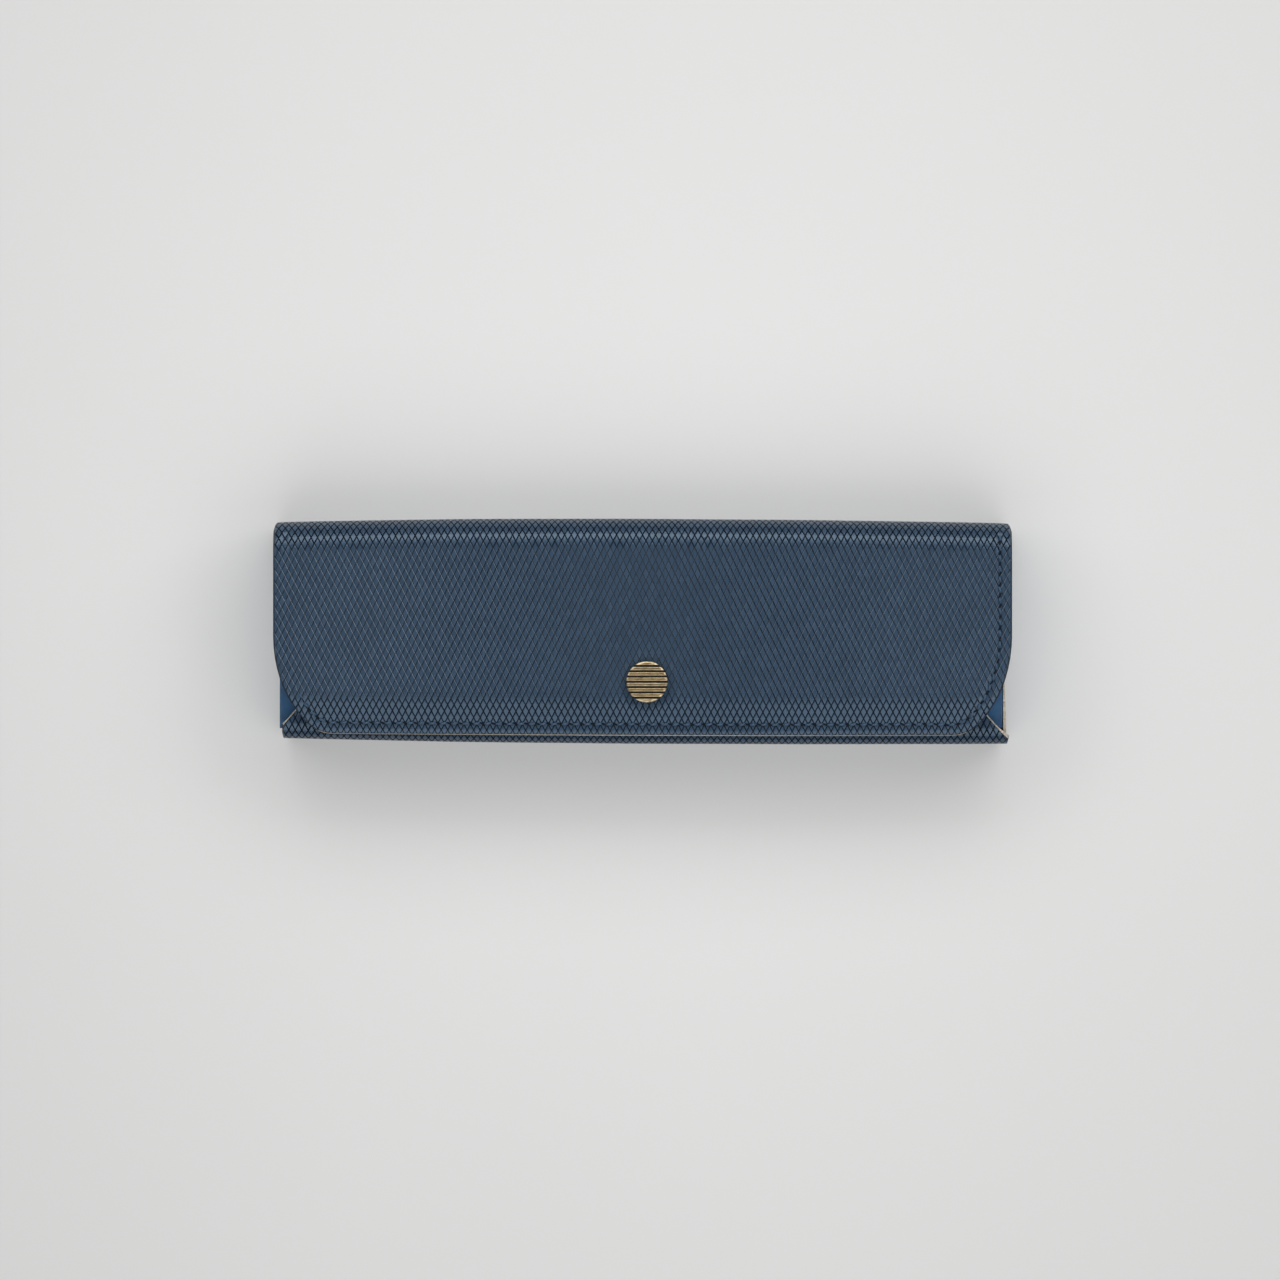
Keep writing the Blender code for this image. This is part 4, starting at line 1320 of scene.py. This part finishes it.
threads = stitch_row("flap_stitches", stitch_line, along_line("stitches", thread_arch), {
    "Pitch": STITCH_PITCH, "Length": STITCH_LENGTH, "Radius": THREAD_RADIUS, "Crown": STITCH_CROWN * 2,
    "Sink": STITCH_SINK, "Slant": -STITCH_SLANT, "Finish": thread,
})
slits = stitch_row("flap_stitch_slits", stitch_line, along_line("slits", slit_oval), {
    "Pitch": STITCH_PITCH, "Length": SLIT_LENGTH, "Radius": SLIT_WIDTH, "Crown": SLIT_DEPTH,
    "Sink": SLIT_TOP - SLIT_DEPTH / 2, "Slant": SLIT_SLANT, "Finish": slit,
})

# The press stud. Its parts are of brass, antiqued dark and rubbed bright where they wear. The cap's top is
# milled across in ribs, and its stem goes through the flap to the socket.
GROOVE_PITCH = 0.00122
GROOVE_HALF = 0.00027
GROOVE_WALL = 0.00004
GROOVE_DEPTH = 0.00042
GROOVES = 7
RIB_BEVEL = 0.00013
RIB_DROP = 0.00007
RIB_HOLLOW = 0.00003
RIB_HOLLOW_EASE = 0.0003
RIM_WIDTH = 0.00050
RIM_DROP = 0.00026
RIM_STEPS = 6
CAP_COLUMNS = 30
CAP_SINK = 0.0003
CAP_UNDER = top - CAP_SINK
STEM_RADIUS = 0.0013
BRASS = (0.520, 0.395, 0.215, 1)
BRASS_BROWN = (0.235, 0.160, 0.085, 1)
BRASS_WORN = (0.980, 0.830, 0.560, 1)
BRASS_BLACK = (0.012, 0.009, 0.006, 1)
BRASS_STAIN = 2300.0
BRASS_WEAR = 1600.0
CAP_WALL_STAIN = 0.6

brass, tree, shader = material("antique_brass")
place = node(tree, "ShaderNodeTexCoord").outputs["Object"]
recess, edge = mark(tree, "recess"), mark(tree, "edge")
drawn = node(tree, "ShaderNodeMapping", {"Vector": place, "Scale": (0.35, 1.0, 1.0)}).outputs[0]
stain = node(tree, "ShaderNodeTexNoise", {"Vector": drawn, "Scale": BRASS_STAIN, "Detail": 6.0,
                                          "Roughness": 0.65})
metal = blended(tree, ranged(tree, stain.outputs[0], 0.36, 0.60), BRASS_BROWN, BRASS)
worn = node(tree, "ShaderNodeGroup", {"Colour": metal, "Edge colour": BRASS_WORN, "Mask": edge, "Vector": place,
                                      "Scale": BRASS_WEAR}, node_tree=edge_patches)
tree.links.new(blended(tree, recess, worn.outputs["Colour"], BRASS_BLACK), shader.inputs["Base Color"])
tree.links.new(ranged(tree, recess, 0, 1, 1.0, 0.2), shader.inputs["Metallic"])
tree.links.new(ranged(tree, stain.outputs[0], 0.3, 0.7, 0.44, 0.26), shader.inputs["Roughness"])
bumped(tree, shader, stain.outputs[0], 0.25, 0.00002)


def cap_rows():
    """Places across the cap, close together at the ribs' edges."""
    rows = {-CAP_RADIUS, CAP_RADIUS}
    for groove in range(GROOVES):
        middle = (groove - (GROOVES - 1) / 2) * GROOVE_PITCH
        for gap in (0, GROOVE_HALF - GROOVE_WALL, GROOVE_HALF, GROOVE_HALF + RIB_BEVEL / 2,
                    GROOVE_HALF + RIB_BEVEL, GROOVE_PITCH / 3, GROOVE_PITCH / 2):
            rows.update((middle - gap, middle + gap))
    last = GROOVES / 2 * GROOVE_PITCH
    for step in range(1, RIM_STEPS):
        row = last + (CAP_RADIUS - last) * step / RIM_STEPS
        rows.update((row, -row))
    ordered = [min(rows)]
    for row in sorted(rows):
        if row - ordered[-1] > GROOVE_WALL / 4 and abs(row) <= CAP_RADIUS:
            ordered.append(row)
    return np.array(ordered)


def rib_height(y):
    """The height of the milled top below its highest level, across the ribs."""
    nearest = np.clip(np.round(y / GROOVE_PITCH), -(GROOVES // 2), GROOVES // 2) * GROOVE_PITCH
    gap = np.abs(y - nearest)
    shoulder = np.clip((gap - GROOVE_HALF) / RIB_BEVEL, 0, 1)
    hollow = RIB_HOLLOW * eased((gap - GROOVE_HALF - RIB_BEVEL) / RIB_HOLLOW_EASE)
    height = -RIB_DROP * (1 - shoulder) ** 2 - hollow
    wall = np.clip((GROOVE_HALF - gap) / GROOVE_WALL, 0, 1)
    return height - (GROOVE_DEPTH - RIB_DROP) * wall, shoulder


def ribbed_cap(name, cap_top):
    """The cap's top as one height for each place on it, with its wall and underside."""
    rows = cap_rows()
    share = np.sin(np.linspace(-quarter, quarter, CAP_COLUMNS + 1))
    half = np.sqrt(np.clip(CAP_RADIUS ** 2 - rows ** 2, 0, None))
    x = half[:, None] * share[None, :]
    y = np.repeat(rows[:, None], x.shape[1], axis=1)
    height, shoulder = rib_height(y)
    inwards = np.clip((CAP_RADIUS - np.hypot(x, y)) / RIM_WIDTH, 0, 1)
    rim = -RIM_DROP * (1 - inwards) ** 2
    outside = np.minimum(height, rim)
    points = np.stack((x + SNAP_X, y + SNAP_Y, cap_top + outside), axis=-1).reshape(-1, 3)
    columns = x.shape[1]
    work = bmesh.new()
    recessed = work.verts.layers.float.new("recess")
    edged = work.verts.layers.float.new("edge")
    depth = np.clip(-height / GROOVE_DEPTH * 2.2 - 0.05, 0, 1).ravel()
    bright = np.maximum(((1 - shoulder) ** 2 * (height > -GROOVE_DEPTH / 2) * 0.8),
                        (1 - inwards) * (height > rim - 0.00002)).ravel()
    verts = []
    for point, dark, light in zip(points, depth, bright):
        vertex = work.verts.new(point)
        vertex[recessed], vertex[edged] = float(dark), float(light)
        verts.append(vertex)
    for row in range(len(rows) - 1):
        for column in range(columns - 1):
            here = row * columns + column
            work.faces.new([verts[place] for place in (here, here + 1, here + columns + 1, here + columns)])
    bmesh.ops.remove_doubles(work, verts=work.verts, dist=SAME_POINT / 10)
    rim_edges = [border for border in work.edges if border.is_boundary]
    wall = bmesh.ops.extrude_edge_only(work, edges=rim_edges)["geom"]
    for part in wall:
        if isinstance(part, bmesh.types.BMVert):
            part.co.z = CAP_UNDER
            part[recessed] = CAP_WALL_STAIN
    bmesh.ops.contextual_create(work, geom=[border for border in work.edges if border.is_boundary])
    bmesh.ops.recalc_face_normals(work, faces=work.faces)
    return mesh_of(name, work)


def in_brass(name, mesh, crease=CREASE_ANGLE):
    """A piece of the press stud, in its brass."""
    mesh.materials.append(brass)
    return finished(name, mesh, crease)


def turned_mesh(name, profile, sides):
    """A turned piece on the press stud's axis, from its closed outline of radii and heights.

    An outline that starts and ends on the axis is closed there.
    """
    angles = np.linspace(0, 2 * math.pi, sides, endpoint=False)
    work = bmesh.new()
    rings = []
    for radius, height in profile:
        ring = []
        for angle in angles if radius else angles[:1]:
            place = (SNAP_X + radius * math.cos(angle), SNAP_Y + radius * math.sin(angle), height)
            ring.append(work.verts.new(place))
        rings.append(ring)
    pairs = list(zip(rings, rings[1:]))
    if profile[0][0]:
        pairs.append((rings[-1], rings[0]))
    for ring, following in pairs:
        for here in range(sides):
            after = (here + 1) % sides
            corners = []
            for side_ring, place in ((ring, here), (ring, after), (following, after), (following, here)):
                vertex = side_ring[place % len(side_ring)]
                if vertex not in corners:
                    corners.append(vertex)
            if len(corners) > 2:
                work.faces.new(corners)
    bmesh.ops.recalc_face_normals(work, faces=work.faces)
    return mesh_of(name, work)


def arc(radius, height, size, start, end, steps):
    """Points of a profile's arc round a centre, from one angle to another, in quarters of a turn."""
    points = []
    for step in range(steps + 1):
        angle = quarter * (start + (end - start) * step / steps)
        points.append((radius + size * math.cos(angle), height + size * math.sin(angle)))
    return points


STEM_SIDES = 32
STEM_INTO_CAP = 0.0001

cap_low, cap_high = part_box("snap_cap")
cap_mesh = ribbed_cap("snap_cap_ribbed", cap_high.z)
stem_top = CAP_UNDER + STEM_INTO_CAP
profile = [(0, cap_low.z), (STEM_RADIUS, cap_low.z), (STEM_RADIUS, stem_top), (0, stem_top)]
stem = turned_mesh("stem", profile, STEM_SIDES)
joined = bmesh.new()
joined.from_mesh(cap_mesh)
joined.from_mesh(stem)
joined.to_mesh(cap_mesh)
joined.free()
cap = in_brass("snap_cap_ribbed", cap_mesh)
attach(cap, "flap")
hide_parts("snap_cap")

# The socket under the flap: a plate turned in brass with a rolled edge and a raised ring round its bore, in
# which a round wire spring lies that grips the nub.
TURNED_SIDES = 64
FLANGE_EDGE = 0.00018
SOCKET_LIP = 0.000252
SOCKET_BORE = 0.0021
SOCKET_PLATE = 0.0002
RING_RADIUS = 0.00022
RING_MIDDLE = 0.0003
RING_HEIGHT = 0.0001
DISH_SIZE = 0.0009
DISH_FLOOR = 0.0007
DISH_DEPTH = 0.0005
WIRE_RADIUS = 0.00022
WIRE_HEIGHT = 0.0006
WIRE_GAP = 0.00002
WIRE_SIDES = 48
WIRE_CREASE = math.radians(60)

radius, low = (socket_high.x - socket_low.x) / 2, socket_low.z
plate = low + SOCKET_PLATE
profile = [(SOCKET_BORE, socket_high.z)] + arc(radius - SOCKET_LIP, plate + SOCKET_LIP, SOCKET_LIP, 0, -1, 6)
profile += arc(radius - 3.2 * SOCKET_LIP, plate + 1.1 * SOCKET_LIP, 0.8 * SOCKET_LIP, -0.9, -2, 5)
profile += [(SOCKET_BORE + DISH_SIZE, low + DISH_DEPTH), (SOCKET_BORE + DISH_FLOOR, plate)]
profile += arc(SOCKET_BORE + RING_MIDDLE, low + RING_HEIGHT, RING_RADIUS, -0.3, -2, 6)
socket = in_brass("snap_socket_turned", turned_mesh("socket", profile, TURNED_SIDES))
profile = arc(SOCKET_BORE + WIRE_GAP, low + WIRE_HEIGHT, WIRE_RADIUS, 0, 3.6, 9)
spring = in_brass("socket_spring", turned_mesh("ring", profile, WIRE_SIDES), WIRE_CREASE)
for piece in (socket, spring):
    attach(piece, "flap")
    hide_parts("snap_socket")

# The stud on the front panel: a domed flange with a rolled edge and a hollow nub, which is waisted so that
# the spring holds it. The rivet's wide head closes it from below. A profile is given in radii and heights.
NUB_RADIUS = 0.0017
NUB_EDGE = 0.0003
NUB_WAIST = ((0.0007, 0.00045), (0.0002, 0.0006), (-0.00016, 0.0009))
NUB_HOLLOW = ((-0.0007, 0.00002), (-0.00095, 0.0002), (-0.00115, 0.0006))
NUB_FLOOR = 0.00065
STUD_DOME_SHARE = 0.72
STUD_DOME = 0.0003
RIVET_POST = 0.0005
RIVET_UP = 0.0008
RIVET_DOME_SHARE = 0.6
RIVET_DOME = (0.0001, 0.00014, 0.0003)
RIVET_SLOPE = 0.0004

stud_low, stud_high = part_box("snap_stud")
radius, low, high = (stud_high.x - stud_low.x) / 2, stud_low.z, stud_high.z
seat = panel_top + GROOVE
profile = [(0, seat), (radius - FLANGE_EDGE, seat)]
profile += arc(radius - FLANGE_EDGE, seat + FLANGE_EDGE, FLANGE_EDGE, -1, 1, 6)
profile += [(radius * STUD_DOME_SHARE, low + STUD_DOME)]
profile += [(NUB_RADIUS + out, low + up) for out, up in NUB_WAIST]
profile += arc(NUB_RADIUS - NUB_EDGE, high - NUB_EDGE, NUB_EDGE, 0, 1, 5)
profile += [(NUB_RADIUS + out, high - down) for out, down in NUB_HOLLOW] + [(0, high - NUB_FLOOR)]
stud = in_brass("snap_stud_turned", turned_mesh("stud", profile, TURNED_SIDES))

rivet_low, rivet_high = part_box("stud_rivet")
radius, low = (rivet_high.x - rivet_low.x) / 2, rivet_low.z
head, end = panel_top - BOARD_LEVEL - LINING, high - RIVET_UP
crown, shoulder, slope = RIVET_DOME
profile = [(0, low + crown), (radius * RIVET_DOME_SHARE, low + shoulder), (radius - RIVET_SLOPE, low + slope)]
profile += arc(radius - FLANGE_EDGE, head - FLANGE_EDGE, FLANGE_EDGE, -0.7, 1, 6)
profile += [(RIVET_POST, head), (RIVET_POST, end), (0, end)]
rivet = in_brass("stud_rivet_turned", turned_mesh("rivet", profile, TURNED_SIDES))
for piece, node_name in ((stud, "snap_stud"), (rivet, "stud_rivet")):
    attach(piece, "front_panel")
    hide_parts(node_name)
